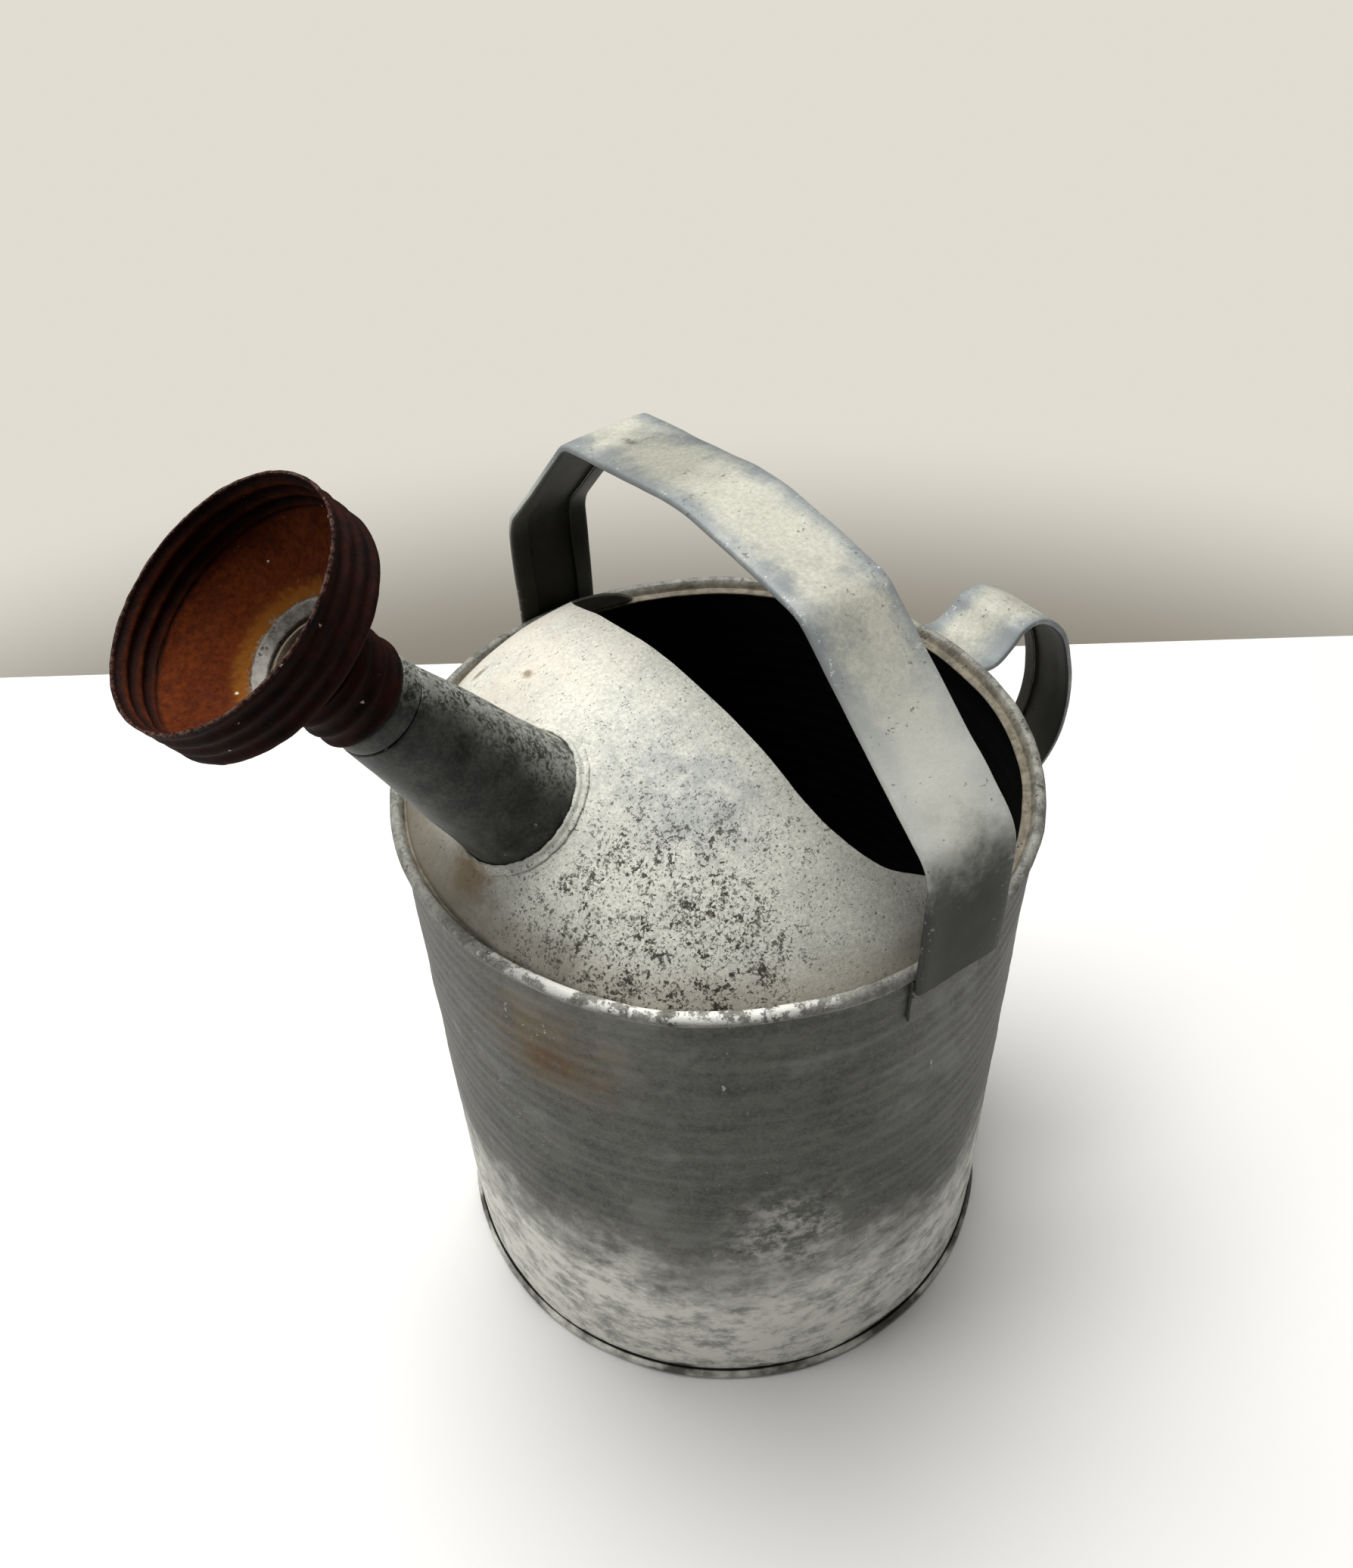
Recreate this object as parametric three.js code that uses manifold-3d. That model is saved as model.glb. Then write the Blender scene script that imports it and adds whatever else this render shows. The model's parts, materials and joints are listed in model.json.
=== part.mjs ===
// A galvanised steel watering can with a screw-on rose.
//
// Frame: millimetres, +Z up. The origin is on the can's own axis, on the surface it stands on.
// The spout leans out towards +X, the rear handle is at -X, and the top handle crosses from
// -Y to +Y. The can is symmetric about the plane y = 0, apart from its screw thread.

import * as THREE from 'three';
import { mergeVertices } from 'three/addons/utils/BufferGeometryUtils.js';
import Module from 'manifold-3d';

const wasm = await Module();
wasm.setup();

// ---- driving dimensions, mm ------------------------------------------------------------------

const SHEET = 1;                  // thickness of the rolled sheet
const GAP = 0.3;                  // clearance between pieces that touch

// body
const WALL_RADIUS = 106;          // outside of the body wall
const RIM_HEIGHT = 223;           // top of the rolled seam round the top, above the ground
const RIM_OVERHANG = 2;           // that seam stands out from the wall by this much
const RIM_BEAD_WIDTH = 4.4;
const RIM_BEAD_HEIGHT = 4.8;
const BASE_OVERHANG = 1.8;        // so does the folded seam round the bottom
const BASE_BEAD_HEIGHT = 5;
const BASE_BEAD_WIDTH = 4.3;
const BASE_RECESS = 2.5;          // underside of the bottom plate above the ground
const BEAD_ROUNDING = 1.2;        // both seams' corners

// deck, the domed half cover
const LEDGE_DROP = 3.2;           // gutter floor below the top of the rim
const LEDGE_WIDTH = 3.2;          // flat ledge inside the rim bead
const DOME_RISE = 46.5;           // crown of the dome above the gutter floor
const DOME_FULLNESS = 2.8;        // the dome's section: higher is flatter on top
const DOME_SHOULDER = 0.9;        // and this rounds its edge
const DOME_EDGE_WIDTH = 2.2;      // the dome's foot overlaps the ledge by this much
const CUT_X = 12;                 // plane of the dome's straight cut edge
const CUT_CORNER = [              // the edge's corner: [behind the cut, inside the dome's foot]
  [0, 40.6],
  [3, 32.6],
  [11, 19.5],
  [21.5, 13.9],
];
const HORN_LENGTH = 43;           // behind the cut, where the edge runs out into the ledge
const HORN_INSET = 1.5;

// spout
const SPOUT_LEAN = THREE.MathUtils.degToRad(33.7);   // away from the vertical
const SPOUT_SETBACK = 46.2;       // the dome's foot to where the axis crosses the rim's height
const SPOUT_FOOT_RADIUS = 24.9;   // outer radius there, if it ran that low
const SPOUT_TIP_RADIUS = 14.6;
const SPOUT_TIP = 94.3;           // distance along the axis from the rim's height
const SPOUT_BURIED = 7.5;         // tube below the lowest place where it comes out of the dome
const FOOT_SOLDER_WIDTH = 3.2;
const COLLAR_LENGTH = 7;
const FERRULE_LENGTH = 22.7;      // above the tube's end
const FERRULE_BELOW = 12;         // length of the ferrule that sits inside the tube
const FERRULE_STEP = 2;           // the bottom of the male thread is this much inside the tube's tip
const SCREW_PITCH = 6;
const SCREW_DEPTH = 1.2;
const SCREW_RUNOUT = 3;           // the male thread fades in and out over this length
const SCREW_PLAY = 0.6;           // radial play between the male and the female thread

// rose
const ROSE_RADIUS = 35.6;
const ROSE_DEPTH = 17.1;          // of the ringed side
const ROSE_REACH = 33;            // the neck's shoulder to the cup's lip
const ROSE_SEAM = 3.5;            // height of the fold that joins the funnel to the side
const ROSE_RINGS = 3;
const ROSE_RING_DEPTH = 0.7;
const PIPE_STEP = 0.4;            // the pipe is this much narrower than the male thread's root
const PIPE_REACH = 2.9;           // the pipe's end above the shoulder
const FUNNEL_SHEET = 1.3 * SHEET; // measured upright, as the funnel slopes
const SOLDER_RING_WIDTH = 4.2;
const WASHER_THICKNESS = 1;

// top handle
const TOP_HANDLE_X = -6;
const TOP_HANDLE_WIDTH = 32;
const TOP_HANDLE_RISE = 101;      // top of its arch above the rim
const KNEE_RISE = 42;             // height where the legs bend inwards
const SHOULDER_RISE = 93;
const FAR_SHOULDER_INSET = 44.9;  // ends of the slightly arched grip, in from the legs
const NEAR_SHOULDER_INSET = 57.9;
const HEM_DEPTH = 2.6;            // folded edges of both handles
const HEM_SHEET = 0.8;
const HEM_RETURN = 7;
const FOOT_BELOW_RIM = 6.5;       // the strap's ends hang below the rim's top by this much

const LUG_WIDTH = 29;
const LUG_THICKNESS = 1.2;
const LUG_DROP = 23;              // its lower edge below the rim's top
const LUG_SOLDER_HEIGHT = 3.2;

// rear handle
const REAR_PROJECTION = 58.8;     // furthest point of the strap beyond the rim
const REAR_DROP = 104;            // its lower end at the wall below the rim's top
const REAR_TAB_WIDTH = 33;
const REAR_GRIP_WIDTH = 24;
const REAR_TAB = [                // the tab on the rim: [beyond the rim, above its top]
  [6, -3.2],
  [13, 0.5],
  [19, 5],
];
const REAR_LOOP = [               // the loop: [share of the projection, share of the drop]
  [0.49, -0.044],
  [0.78, 0.096],
  [0.95, 0.317],
  [1, 0.519],
  [0.9, 0.721],
  [0.575, 0.865],
];

const ROUND = 60;                 // facets round the body
const FINE = 24;                  // facets round the spout, the screw and the rose

// sizes that follow from those
const RIM_RADIUS = WALL_RADIUS + RIM_OVERHANG;
const BASE_BEAD_RADIUS = WALL_RADIUS + BASE_OVERHANG;

// ---- materials -------------------------------------------------------------------------------

function finish(color, roughness, metalness) {
  return new THREE.MeshStandardMaterial({ color, roughness, metalness });
}

const ZINC_DARK = () => finish(0x55564f, 0.6, 0.6);
const ZINC_PALE = () => finish(0xb4b1a5, 0.7, 0.4);
const RUST_DARK = () => finish(0x24110c, 0.8, 0.2);
const RUST_ORANGE = () => finish(0x5d2c12, 0.9, 0.1);
const SOLDER = () => finish(0x9b9a92, 0.5, 0.7);
const RUBBER = () => finish(0x1c1a18, 0.9, 0);

// ---- making solids ---------------------------------------------------------------------------

// A solid for joining and cutting, from a closed geometry whichever way its faces wind.
function solid(geometry) {
  const bare = geometry.clone();
  for (const name of Object.keys(bare.attributes)) {
    if (name !== 'position') bare.deleteAttribute(name);
  }
  const merged = mergeVertices(bare, 1e-4);
  const triVerts = Uint32Array.from(merged.index.array);
  const vertProperties = Float32Array.from(merged.attributes.position.array);
  if (signedVolume(vertProperties, triVerts) < 0) {
    for (let i = 0; i < triVerts.length; i += 3) {
      [triVerts[i], triVerts[i + 1]] = [triVerts[i + 1], triVerts[i]];
    }
  }
  return new wasm.Manifold(new wasm.Mesh({ numProp: 3, vertProperties, triVerts }));
}

function signedVolume(xyz, corners) {
  const [a, b, c] = [new THREE.Vector3(), new THREE.Vector3(), new THREE.Vector3()];
  let volume = 0;
  for (let i = 0; i < corners.length; i += 3) {
    a.fromArray(xyz, 3 * corners[i]);
    b.fromArray(xyz, 3 * corners[i + 1]);
    c.fromArray(xyz, 3 * corners[i + 2]);
    volume += a.dot(b.cross(c)) / 6;
  }
  return volume;
}

function surface(manifold) {
  const mesh = manifold.getMesh();
  const geometry = new THREE.BufferGeometry();
  geometry.setAttribute('position', new THREE.BufferAttribute(new Float32Array(mesh.vertProperties), 3));
  geometry.setIndex(new THREE.BufferAttribute(new Uint32Array(mesh.triVerts), 1));
  geometry.computeVertexNormals();
  return geometry;
}

function piece(name, manifold, material, parent) {
  const mesh = new THREE.Mesh(surface(manifold), material);
  mesh.name = name;
  parent.add(mesh);
}

// A closed outline of [radius, height] pairs, turned about +Z.
function turned(outline, segments) {
  const points = outline.map(([r, z]) => new THREE.Vector2(r, z));
  if (outline[0][0] > 0) points.push(points[0].clone());
  return solid(new THREE.LatheGeometry(points, segments).rotateX(Math.PI / 2));
}

// An outline of [x, y] pairs, extruded upwards from z = low to z = high.
function prism(outline, low, high) {
  const shape = new THREE.Shape(outline.map(([x, y]) => new THREE.Vector2(x, y)));
  const geometry = new THREE.ExtrudeGeometry(shape, { depth: high - low, bevelEnabled: false });
  return solid(geometry.translate(0, 0, low));
}

// A closed skin through rings of equally many points, with flat ends.
// section is the ring's outline in its own plane, which says how an end is filled.
function loft(rings, section) {
  const count = section.length;
  const vertices = rings.flat().flatMap((p) => [p.x, p.y, p.z]);
  const triangles = [];
  for (let i = 0; i + 1 < rings.length; i += 1) {
    for (let j = 0; j < count; j += 1) {
      const [a, b] = [i * count + j, i * count + ((j + 1) % count)];
      triangles.push(a, b, b + count, a, b + count, a + count);
    }
  }
  const last = (rings.length - 1) * count;
  const winding = Math.sign(THREE.ShapeUtils.area(section));
  for (const face of THREE.ShapeUtils.triangulateShape(section, [])) {
    const same = Math.sign(THREE.ShapeUtils.area(face.map((k) => section[k]))) === winding;
    const [a, b, c] = same ? face : [...face].reverse();
    triangles.push(a, c, b, last + a, last + b, last + c);
  }
  const geometry = new THREE.BufferGeometry();
  geometry.setAttribute('position', new THREE.Float32BufferAttribute(vertices, 3));
  geometry.setIndex(triangles);
  return solid(geometry);
}

// A tube about +Z whose inner and outer radii are functions of the angle and the height.
function threadedTube(low, high, rows, outer, inner) {
  const vertices = [];
  const triangles = [];
  const total = 2 * (rows + 1);
  for (let row = 0; row < total; row += 1) {
    const outside = row <= rows;
    const step = outside ? row : total - 1 - row;
    const z = low + ((high - low) * step) / rows;
    for (let k = 0; k < FINE; k += 1) {
      const angle = (2 * Math.PI * k) / FINE;
      const r = (outside ? outer : inner)(angle, z);
      vertices.push(r * Math.cos(angle), r * Math.sin(angle), z);
    }
  }
  for (let row = 0; row < total; row += 1) {
    const next = (row + 1) % total;
    for (let k = 0; k < FINE; k += 1) {
      const side = (k + 1) % FINE;
      const [a, b] = [row * FINE + k, row * FINE + side];
      const [c, d] = [next * FINE + side, next * FINE + k];
      triangles.push(a, b, c, a, c, d);
    }
  }
  const geometry = new THREE.BufferGeometry();
  geometry.setAttribute('position', new THREE.Float32BufferAttribute(vertices, 3));
  geometry.setIndex(triangles);
  return solid(geometry);
}

// ---- body ------------------------------------------------------------------------------------

const RIM_BOTTOM = RIM_HEIGHT - RIM_BEAD_HEIGHT;
const WALL_INSIDE = WALL_RADIUS - SHEET;

function bodyWall() {
  const [low, high] = [BASE_BEAD_HEIGHT + GAP, RIM_BOTTOM - GAP];
  return turned([[WALL_INSIDE, low], [WALL_RADIUS, low], [WALL_RADIUS, high], [WALL_INSIDE, high]], ROUND);
}

function basePlate() {
  const inner = BASE_BEAD_RADIUS - BASE_BEAD_WIDTH;
  const top = BASE_RECESS + SHEET;
  return turned([
    [0, BASE_RECESS],
    [inner - BEAD_ROUNDING, BASE_RECESS],
    [inner, 0],
    [BASE_BEAD_RADIUS - BEAD_ROUNDING, 0],
    [BASE_BEAD_RADIUS, BEAD_ROUNDING],
    [BASE_BEAD_RADIUS, BASE_BEAD_HEIGHT - BEAD_ROUNDING],
    [BASE_BEAD_RADIUS - BEAD_ROUNDING, BASE_BEAD_HEIGHT],
    [inner + BEAD_ROUNDING, BASE_BEAD_HEIGHT],
    [inner + GAP, top],
    [0, top],
  ], ROUND);
}

// ---- deck ------------------------------------------------------------------------------------

const LEDGE_TOP = RIM_HEIGHT - LEDGE_DROP;
const LEDGE_INSIDE = RIM_RADIUS - RIM_BEAD_WIDTH - LEDGE_WIDTH;
const DOME_RADIUS = LEDGE_INSIDE + DOME_EDGE_WIDTH;
const DOME_STEPS = 10;
const DOME_SHEET = 1.2 * SHEET;   // measured upright, as the dome slopes

function domeHeight(radius) {
  const share = Math.min(radius / DOME_RADIUS, 1);
  return LEDGE_TOP + DOME_RISE * (1 - share ** DOME_FULLNESS) ** DOME_SHOULDER;
}

// The dome's skin between two heights above its own outer face.
function domeLayer(above, below) {
  const rings = Array.from({ length: DOME_STEPS + 1 }, (_, i) => {
    return DOME_RADIUS * Math.sin((i / DOME_STEPS) * (Math.PI / 2));
  });
  return turned([
    ...rings.map((r) => [r, domeHeight(r) + above]),
    ...rings.reverse().map((r) => [r, domeHeight(r) + below]),
  ], ROUND);
}

function rimRing() {
  const inside = RIM_RADIUS - RIM_BEAD_WIDTH;
  return turned([
    [LEDGE_INSIDE, LEDGE_TOP - SHEET],
    [inside + BEAD_ROUNDING / 2, LEDGE_TOP - SHEET],
    [inside + BEAD_ROUNDING, RIM_BOTTOM],
    [RIM_RADIUS - BEAD_ROUNDING, RIM_BOTTOM],
    [RIM_RADIUS, RIM_BOTTOM + BEAD_ROUNDING],
    [RIM_RADIUS, RIM_HEIGHT - BEAD_ROUNDING],
    [RIM_RADIUS - BEAD_ROUNDING, RIM_HEIGHT],
    [inside + BEAD_ROUNDING, RIM_HEIGHT],
    [inside, RIM_HEIGHT - BEAD_ROUNDING],
    [inside, LEDGE_TOP],
    [LEDGE_INSIDE, LEDGE_TOP],
  ], ROUND);
}

// What the half cover keeps of the dome: everything in front of its cut edge. The edge is
// straight across the middle, turns back at both corners and runs out into the ledge.
function deckPlan() {
  const far = 1.2 * RIM_RADIUS;
  const hornX = CUT_X - HORN_LENGTH;
  const side = [
    ...CUT_CORNER.map(([behind, inside]) => [CUT_X - behind, DOME_RADIUS - inside]),
    [hornX, Math.sqrt(DOME_RADIUS ** 2 - hornX ** 2) - HORN_INSET],
    [hornX - (far - DOME_RADIUS) / 3, far],
    [far, far],
  ];
  const mirrored = [...side].reverse().map(([x, y]) => [x, -y]);
  return prism([...side, ...mirrored], 0, 2 * RIM_HEIGHT);
}

function deck() {
  return domeLayer(0, -DOME_SHEET)
    .intersect(deckPlan())
    .add(rimRing())
    .subtract(spoutHole());
}

// ---- spout, in its own frame: +Z along its axis, from the rim's height ------------------------

const SPOUT_FOOT_X = DOME_RADIUS - SPOUT_SETBACK;
const spoutFrame = new THREE.Matrix4()
  .makeTranslation(SPOUT_FOOT_X, 0, RIM_HEIGHT)
  .multiply(new THREE.Matrix4().makeRotationY(SPOUT_LEAN));

function inCan(manifold) {
  return solid(surface(manifold).applyMatrix4(spoutFrame));
}

function inSpout(manifold) {
  return solid(surface(manifold).applyMatrix4(spoutFrame.clone().invert()));
}

function spoutRadius(along) {
  return SPOUT_FOOT_RADIUS + ((SPOUT_TIP_RADIUS - SPOUT_FOOT_RADIUS) * along) / SPOUT_TIP;
}

// A solid cone, wider than the tube's outside by grow.
function spoutCone(grow, from, to) {
  return turned([
    [0, from],
    [spoutRadius(from) + grow, from],
    [spoutRadius(to) + grow, to],
    [0, to],
  ], FINE);
}

// The tube with a little clearance, run on down through the dome.
function spoutHole() {
  return inCan(spoutCone(GAP, -0.2 * SPOUT_TIP, SPOUT_TIP));
}

// The height of the tube's front edge above the dome, for a place along the axis.
function frontAboveDome(along) {
  const front = new THREE.Vector3(spoutRadius(along), 0, along).applyMatrix4(spoutFrame);
  return front.z - domeHeight(front.x);
}

// The tube starts inside the can, a little below the lowest place where it comes out of the dome.
function spoutStart() {
  let [buried, free] = [0, SPOUT_TIP];
  for (let i = 0; i < 20; i += 1) {
    const middle = (buried + free) / 2;
    if (frontAboveDome(middle) < 0) buried = middle;
    else free = middle;
  }
  return buried - SPOUT_BURIED;
}

function spoutTube() {
  const start = spoutStart();
  const bore = spoutCone(-SHEET, start - 1, SPOUT_TIP + 1);
  return spoutCone(0, start, SPOUT_TIP).subtract(bore);
}

// Two steps of solder on the dome, the wide one below and the narrow one above.
function spoutFootSolder() {
  const low = domeLayer(SHEET + GAP, GAP);
  const high = domeLayer(3 * SHEET, SHEET);
  const wide = low.intersect(inCan(spoutCone(FOOT_SOLDER_WIDTH, 0, SPOUT_TIP)));
  const narrow = high.intersect(inCan(spoutCone(FOOT_SOLDER_WIDTH / 2, 0, SPOUT_TIP)));
  return inSpout(wide.add(narrow).subtract(spoutHole()));
}

// The ridge of a right-hand thread: 1 on the crest and 0 in the root.
function ridge(angle, along) {
  const turn = along / SCREW_PITCH - angle / (2 * Math.PI);
  return (0.5 + 0.5 * Math.cos(2 * Math.PI * turn)) ** 1.3;
}

// 1 along a stretch, rising from 0 at its start and falling back at its end.
function runout(along, from, to) {
  const rise = THREE.MathUtils.smoothstep(along, from, from + SCREW_RUNOUT);
  return rise * (1 - THREE.MathUtils.smoothstep(along, to - SCREW_RUNOUT, to));
}

const FERRULE_TIP = SPOUT_TIP + FERRULE_LENGTH;
const FERRULE_ROOT = SPOUT_TIP_RADIUS - FERRULE_STEP;   // at the bottom of the male thread
const FERRULE_INSIDE = FERRULE_ROOT - SHEET;
const COLLAR_TOP = SPOUT_TIP + GAP + COLLAR_LENGTH;
const COLLAR_RADIUS = SPOUT_TIP_RADIUS - 0.4;

function spoutFerrule() {
  const thread = (angle, z) => {
    return FERRULE_ROOT + SCREW_DEPTH * ridge(angle, z) * runout(z, COLLAR_TOP - 1, FERRULE_TIP + 1);
  };
  const screw = threadedTube(COLLAR_TOP - 1, FERRULE_TIP, 18, thread, () => FERRULE_INSIDE);
  const insert = SPOUT_TIP_RADIUS - SHEET - GAP;
  const sleeve = turned([
    [FERRULE_INSIDE, SPOUT_TIP - FERRULE_BELOW],
    [insert, SPOUT_TIP - FERRULE_BELOW],
    [insert, SPOUT_TIP + GAP],
    [COLLAR_RADIUS, SPOUT_TIP + GAP],
    [COLLAR_RADIUS, COLLAR_TOP],
    [FERRULE_INSIDE, COLLAR_TOP],
  ], FINE);
  return sleeve.add(screw);
}

// ---- rose, in the spout's frame ---------------------------------------------------------------

const NECK_START = COLLAR_TOP + GAP;
const NECK_BORE = FERRULE_ROOT + SCREW_PLAY;
const NECK_CREST = NECK_BORE + SCREW_DEPTH;     // at the bottom of the female thread
const WASHER_LOW = FERRULE_TIP + GAP;
const SHOULDER = WASHER_LOW + WASHER_THICKNESS + GAP;
const PIPE_OUTSIDE = FERRULE_ROOT - PIPE_STEP;
const PIPE_INSIDE = PIPE_OUTSIDE - SHEET;
const ROSE_LIP = SHOULDER + ROSE_REACH;
const ROSE_BACK = ROSE_LIP - ROSE_DEPTH;
const ROSE_HOLE_RADIUS = PIPE_OUTSIDE + GAP;
const FUNNEL_LOW = SHOULDER + SHEET + GAP;      // the funnel's lowest edge rests on the shoulder
const FUNNEL_EDGE = ROSE_RADIUS - SHEET - ROSE_RING_DEPTH;

function roseWasher() {
  const [low, high] = [WASHER_LOW, WASHER_LOW + WASHER_THICKNESS];
  const [inner, outer] = [PIPE_INSIDE, NECK_BORE - GAP];
  return turned([[inner, low], [outer, low], [outer, high], [inner, high]], FINE);
}

// The neck's sheet is rolled into the thread, so its outside shows the same ridges.
function roseNeck() {
  const groove = (angle, z) => NECK_BORE + SCREW_DEPTH * ridge(angle, z);
  const outside = (angle, z) => groove(angle, z) + SHEET;
  const sleeve = threadedTube(NECK_START, SHOULDER + SHEET / 2, 20, outside, groove);
  const shoulder = turned([
    [PIPE_INSIDE, SHOULDER],
    [NECK_CREST + SHEET / 2, SHOULDER],
    [NECK_CREST + SHEET, SHOULDER + SHEET / 2],
    [NECK_CREST + SHEET / 2, SHOULDER + SHEET],
    [PIPE_OUTSIDE, SHOULDER + SHEET],
    [PIPE_OUTSIDE, SHOULDER + PIPE_REACH],
    [PIPE_INSIDE, SHOULDER + PIPE_REACH],
  ], FINE);
  return sleeve.add(shoulder);
}

// A shallow cup. Its side is rolled into rings like those of a jar's lid, its lip is open, and
// its floor is a funnel that runs down to the pipe.
function roseCup() {
  const side = [];
  const rows = 4 * ROSE_RINGS;
  const [low, high] = [ROSE_BACK + 2 * SHEET, ROSE_LIP - SHEET];
  for (let i = 0; i <= rows; i += 1) {
    const z = low + ((high - low) * i) / rows;
    const wave = 0.5 - 0.5 * Math.cos((2 * Math.PI * ROSE_RINGS * i) / rows);
    side.push([ROSE_RADIUS - ROSE_RING_DEPTH * wave, z]);
  }
  const inner = side.filter(([, z]) => z > ROSE_BACK + ROSE_SEAM + SHEET / 2);
  const lip = ROSE_RADIUS - SHEET / 2;
  return turned([
    [ROSE_HOLE_RADIUS, FUNNEL_LOW],
    [FUNNEL_EDGE - ROSE_SEAM + SHEET, ROSE_BACK],
    [ROSE_RADIUS - SHEET, ROSE_BACK],
    ...side,
    [lip, ROSE_LIP],
    [lip - SHEET, ROSE_LIP],
    ...inner.map(([r, z]) => [r - SHEET, z]).reverse(),
    [FUNNEL_EDGE, ROSE_BACK + ROSE_SEAM],
    [ROSE_HOLE_RADIUS, FUNNEL_LOW + FUNNEL_SHEET],
  ], FINE + 8);
}

// The height of the funnel's upper face at a radius.
function funnelTop(radius) {
  const share = (radius - ROSE_HOLE_RADIUS) / (FUNNEL_EDGE - ROSE_HOLE_RADIUS);
  return THREE.MathUtils.lerp(FUNNEL_LOW + FUNNEL_SHEET, ROSE_BACK + ROSE_SEAM, share);
}

function roseSolderRing() {
  const [inner, outer] = [ROSE_HOLE_RADIUS, ROSE_HOLE_RADIUS + SOLDER_RING_WIDTH];
  return turned([
    [inner, funnelTop(inner) + GAP],
    [outer, funnelTop(outer) + GAP],
    [outer - SHEET, funnelTop(outer) + GAP],
    [inner, funnelTop(inner) + GAP + SHEET],
  ], FINE);
}

// ---- straps ----------------------------------------------------------------------------------

// A hemmed strap's section: [across, below its outer face]. Both edges fold down and back under.
function strapSection(width) {
  const half = width / 2;
  const [d, t, h] = [HEM_DEPTH, HEM_SHEET, HEM_RETURN];
  const side = [
    [half - 0.7, 0],
    [half, -0.7],
    [half, -d + 0.7],
    [half - 0.7, -d],
    [half - h, -d],
    [half - h, -d + t],
    [half - t, -d + t],
    [half - t, -t],
  ];
  return [...side, ...[...side].reverse().map(([x, y]) => [-x, y])];
}

function blockSection(width, grow) {
  const half = width / 2 + grow;
  return [[half, grow], [half, -HEM_DEPTH - grow], [-half, -HEM_DEPTH - grow], [-half, grow]];
}

// Sweeps a strap along a path in an upright plane. across is the unit vector over its width.
function strap(path, across, sectionAt) {
  const rings = path.map((point, i) => {
    const before = path[Math.max(i - 1, 0)];
    const after = path[Math.min(i + 1, path.length - 1)];
    const tangent = after.clone().sub(before).normalize();
    const outwards = new THREE.Vector3().crossVectors(across, tangent).normalize();
    const bend = i > 0 && i + 1 < path.length
      ? Math.cos(point.clone().sub(before).angleTo(after.clone().sub(point)) / 2) : 1;
    return sectionAt(i / (path.length - 1)).map(([x, d]) => {
      return point.clone().addScaledVector(across, x).addScaledVector(outwards, d / bend);
    });
  });
  return loft(rings, sectionAt(0).map(([x, y]) => new THREE.Vector2(x, y)));
}

// The corners of an open path, each rounded with its own radius.
function roundedPath(corners) {
  const path = [corners[0].at];
  for (let i = 1; i + 1 < corners.length; i += 1) {
    const { at, radius } = corners[i];
    const back = corners[i - 1].at.clone().sub(at).normalize();
    const on = corners[i + 1].at.clone().sub(at).normalize();
    const reach = radius / Math.tan(back.angleTo(on) / 2);
    const [start, end] = [at.clone().addScaledVector(back, reach), at.clone().addScaledVector(on, reach)];
    const arc = new THREE.QuadraticBezierCurve3(start, at, end);
    path.push(...arc.getPoints(6));
  }
  return [...path, corners.at(-1).at];
}

const STRAP_Y = RIM_RADIUS + GAP + HEM_DEPTH;   // outer face of the top handle's legs
const FOOT_Z = RIM_HEIGHT - FOOT_BELOW_RIM;
const SHOULDER_Z = RIM_HEIGHT + SHOULDER_RISE;

function topHandle() {
  const corner = (y, z, radius) => ({ at: new THREE.Vector3(TOP_HANDLE_X, y, z), radius });
  const knee = RIM_HEIGHT + KNEE_RISE;
  const path = roundedPath([
    corner(STRAP_Y, FOOT_Z),
    corner(STRAP_Y, knee, 18),
    corner(STRAP_Y - NEAR_SHOULDER_INSET, SHOULDER_Z + 1, 14),
    corner(0, RIM_HEIGHT + TOP_HANDLE_RISE + 1, 120),
    corner(FAR_SHOULDER_INSET - STRAP_Y, SHOULDER_Z, 12),
    corner(-STRAP_Y, knee, 18),
    corner(-STRAP_Y, FOOT_Z),
  ]);
  return strap(path, new THREE.Vector3(-1, 0, 0), () => strapSection(TOP_HANDLE_WIDTH));
}

// A plate bent round the wall below the strap's foot; side is +1 or -1 along Y.
function handleLug(side) {
  const inner = WALL_RADIUS + GAP;
  const bottom = RIM_HEIGHT - LUG_DROP;
  const ring = turned([
    [inner, bottom],
    [inner + LUG_THICKNESS, bottom],
    [inner + LUG_THICKNESS, RIM_BOTTOM - GAP],
    [inner, RIM_BOTTOM - GAP],
  ], 2 * ROUND);
  const [left, right] = [TOP_HANDLE_X - LUG_WIDTH / 2, TOP_HANDLE_X + LUG_WIDTH / 2];
  const [near, far] = [side * 0.5 * WALL_RADIUS, side * 1.5 * WALL_RADIUS];
  return ring.intersect(prism([[left, near], [right, near], [right, far], [left, far]], 0, RIM_HEIGHT));
}

// A fillet of solder under the strap's end, against the lug.
function handleSolder(side) {
  const face = WALL_RADIUS + 2 * GAP + LUG_THICKNESS;
  const top = FOOT_Z - GAP;
  const profile = new THREE.Shape([
    new THREE.Vector2(face, top - LUG_SOLDER_HEIGHT),
    new THREE.Vector2(face + 1, top - LUG_SOLDER_HEIGHT),
    new THREE.Vector2(STRAP_Y - 2 * GAP, top),
    new THREE.Vector2(face, top),
  ]);
  const geometry = new THREE.ExtrudeGeometry(profile, { depth: TOP_HANDLE_WIDTH, bevelEnabled: false });
  geometry.rotateX(Math.PI / 2).rotateZ(Math.PI / 2);
  geometry.translate(TOP_HANDLE_X - TOP_HANDLE_WIDTH / 2, 0, 0);
  return solid(side > 0 ? geometry : geometry.scale(1, -1, 1));
}

// ---- rear handle ------------------------------------------------------------------------------

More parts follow.
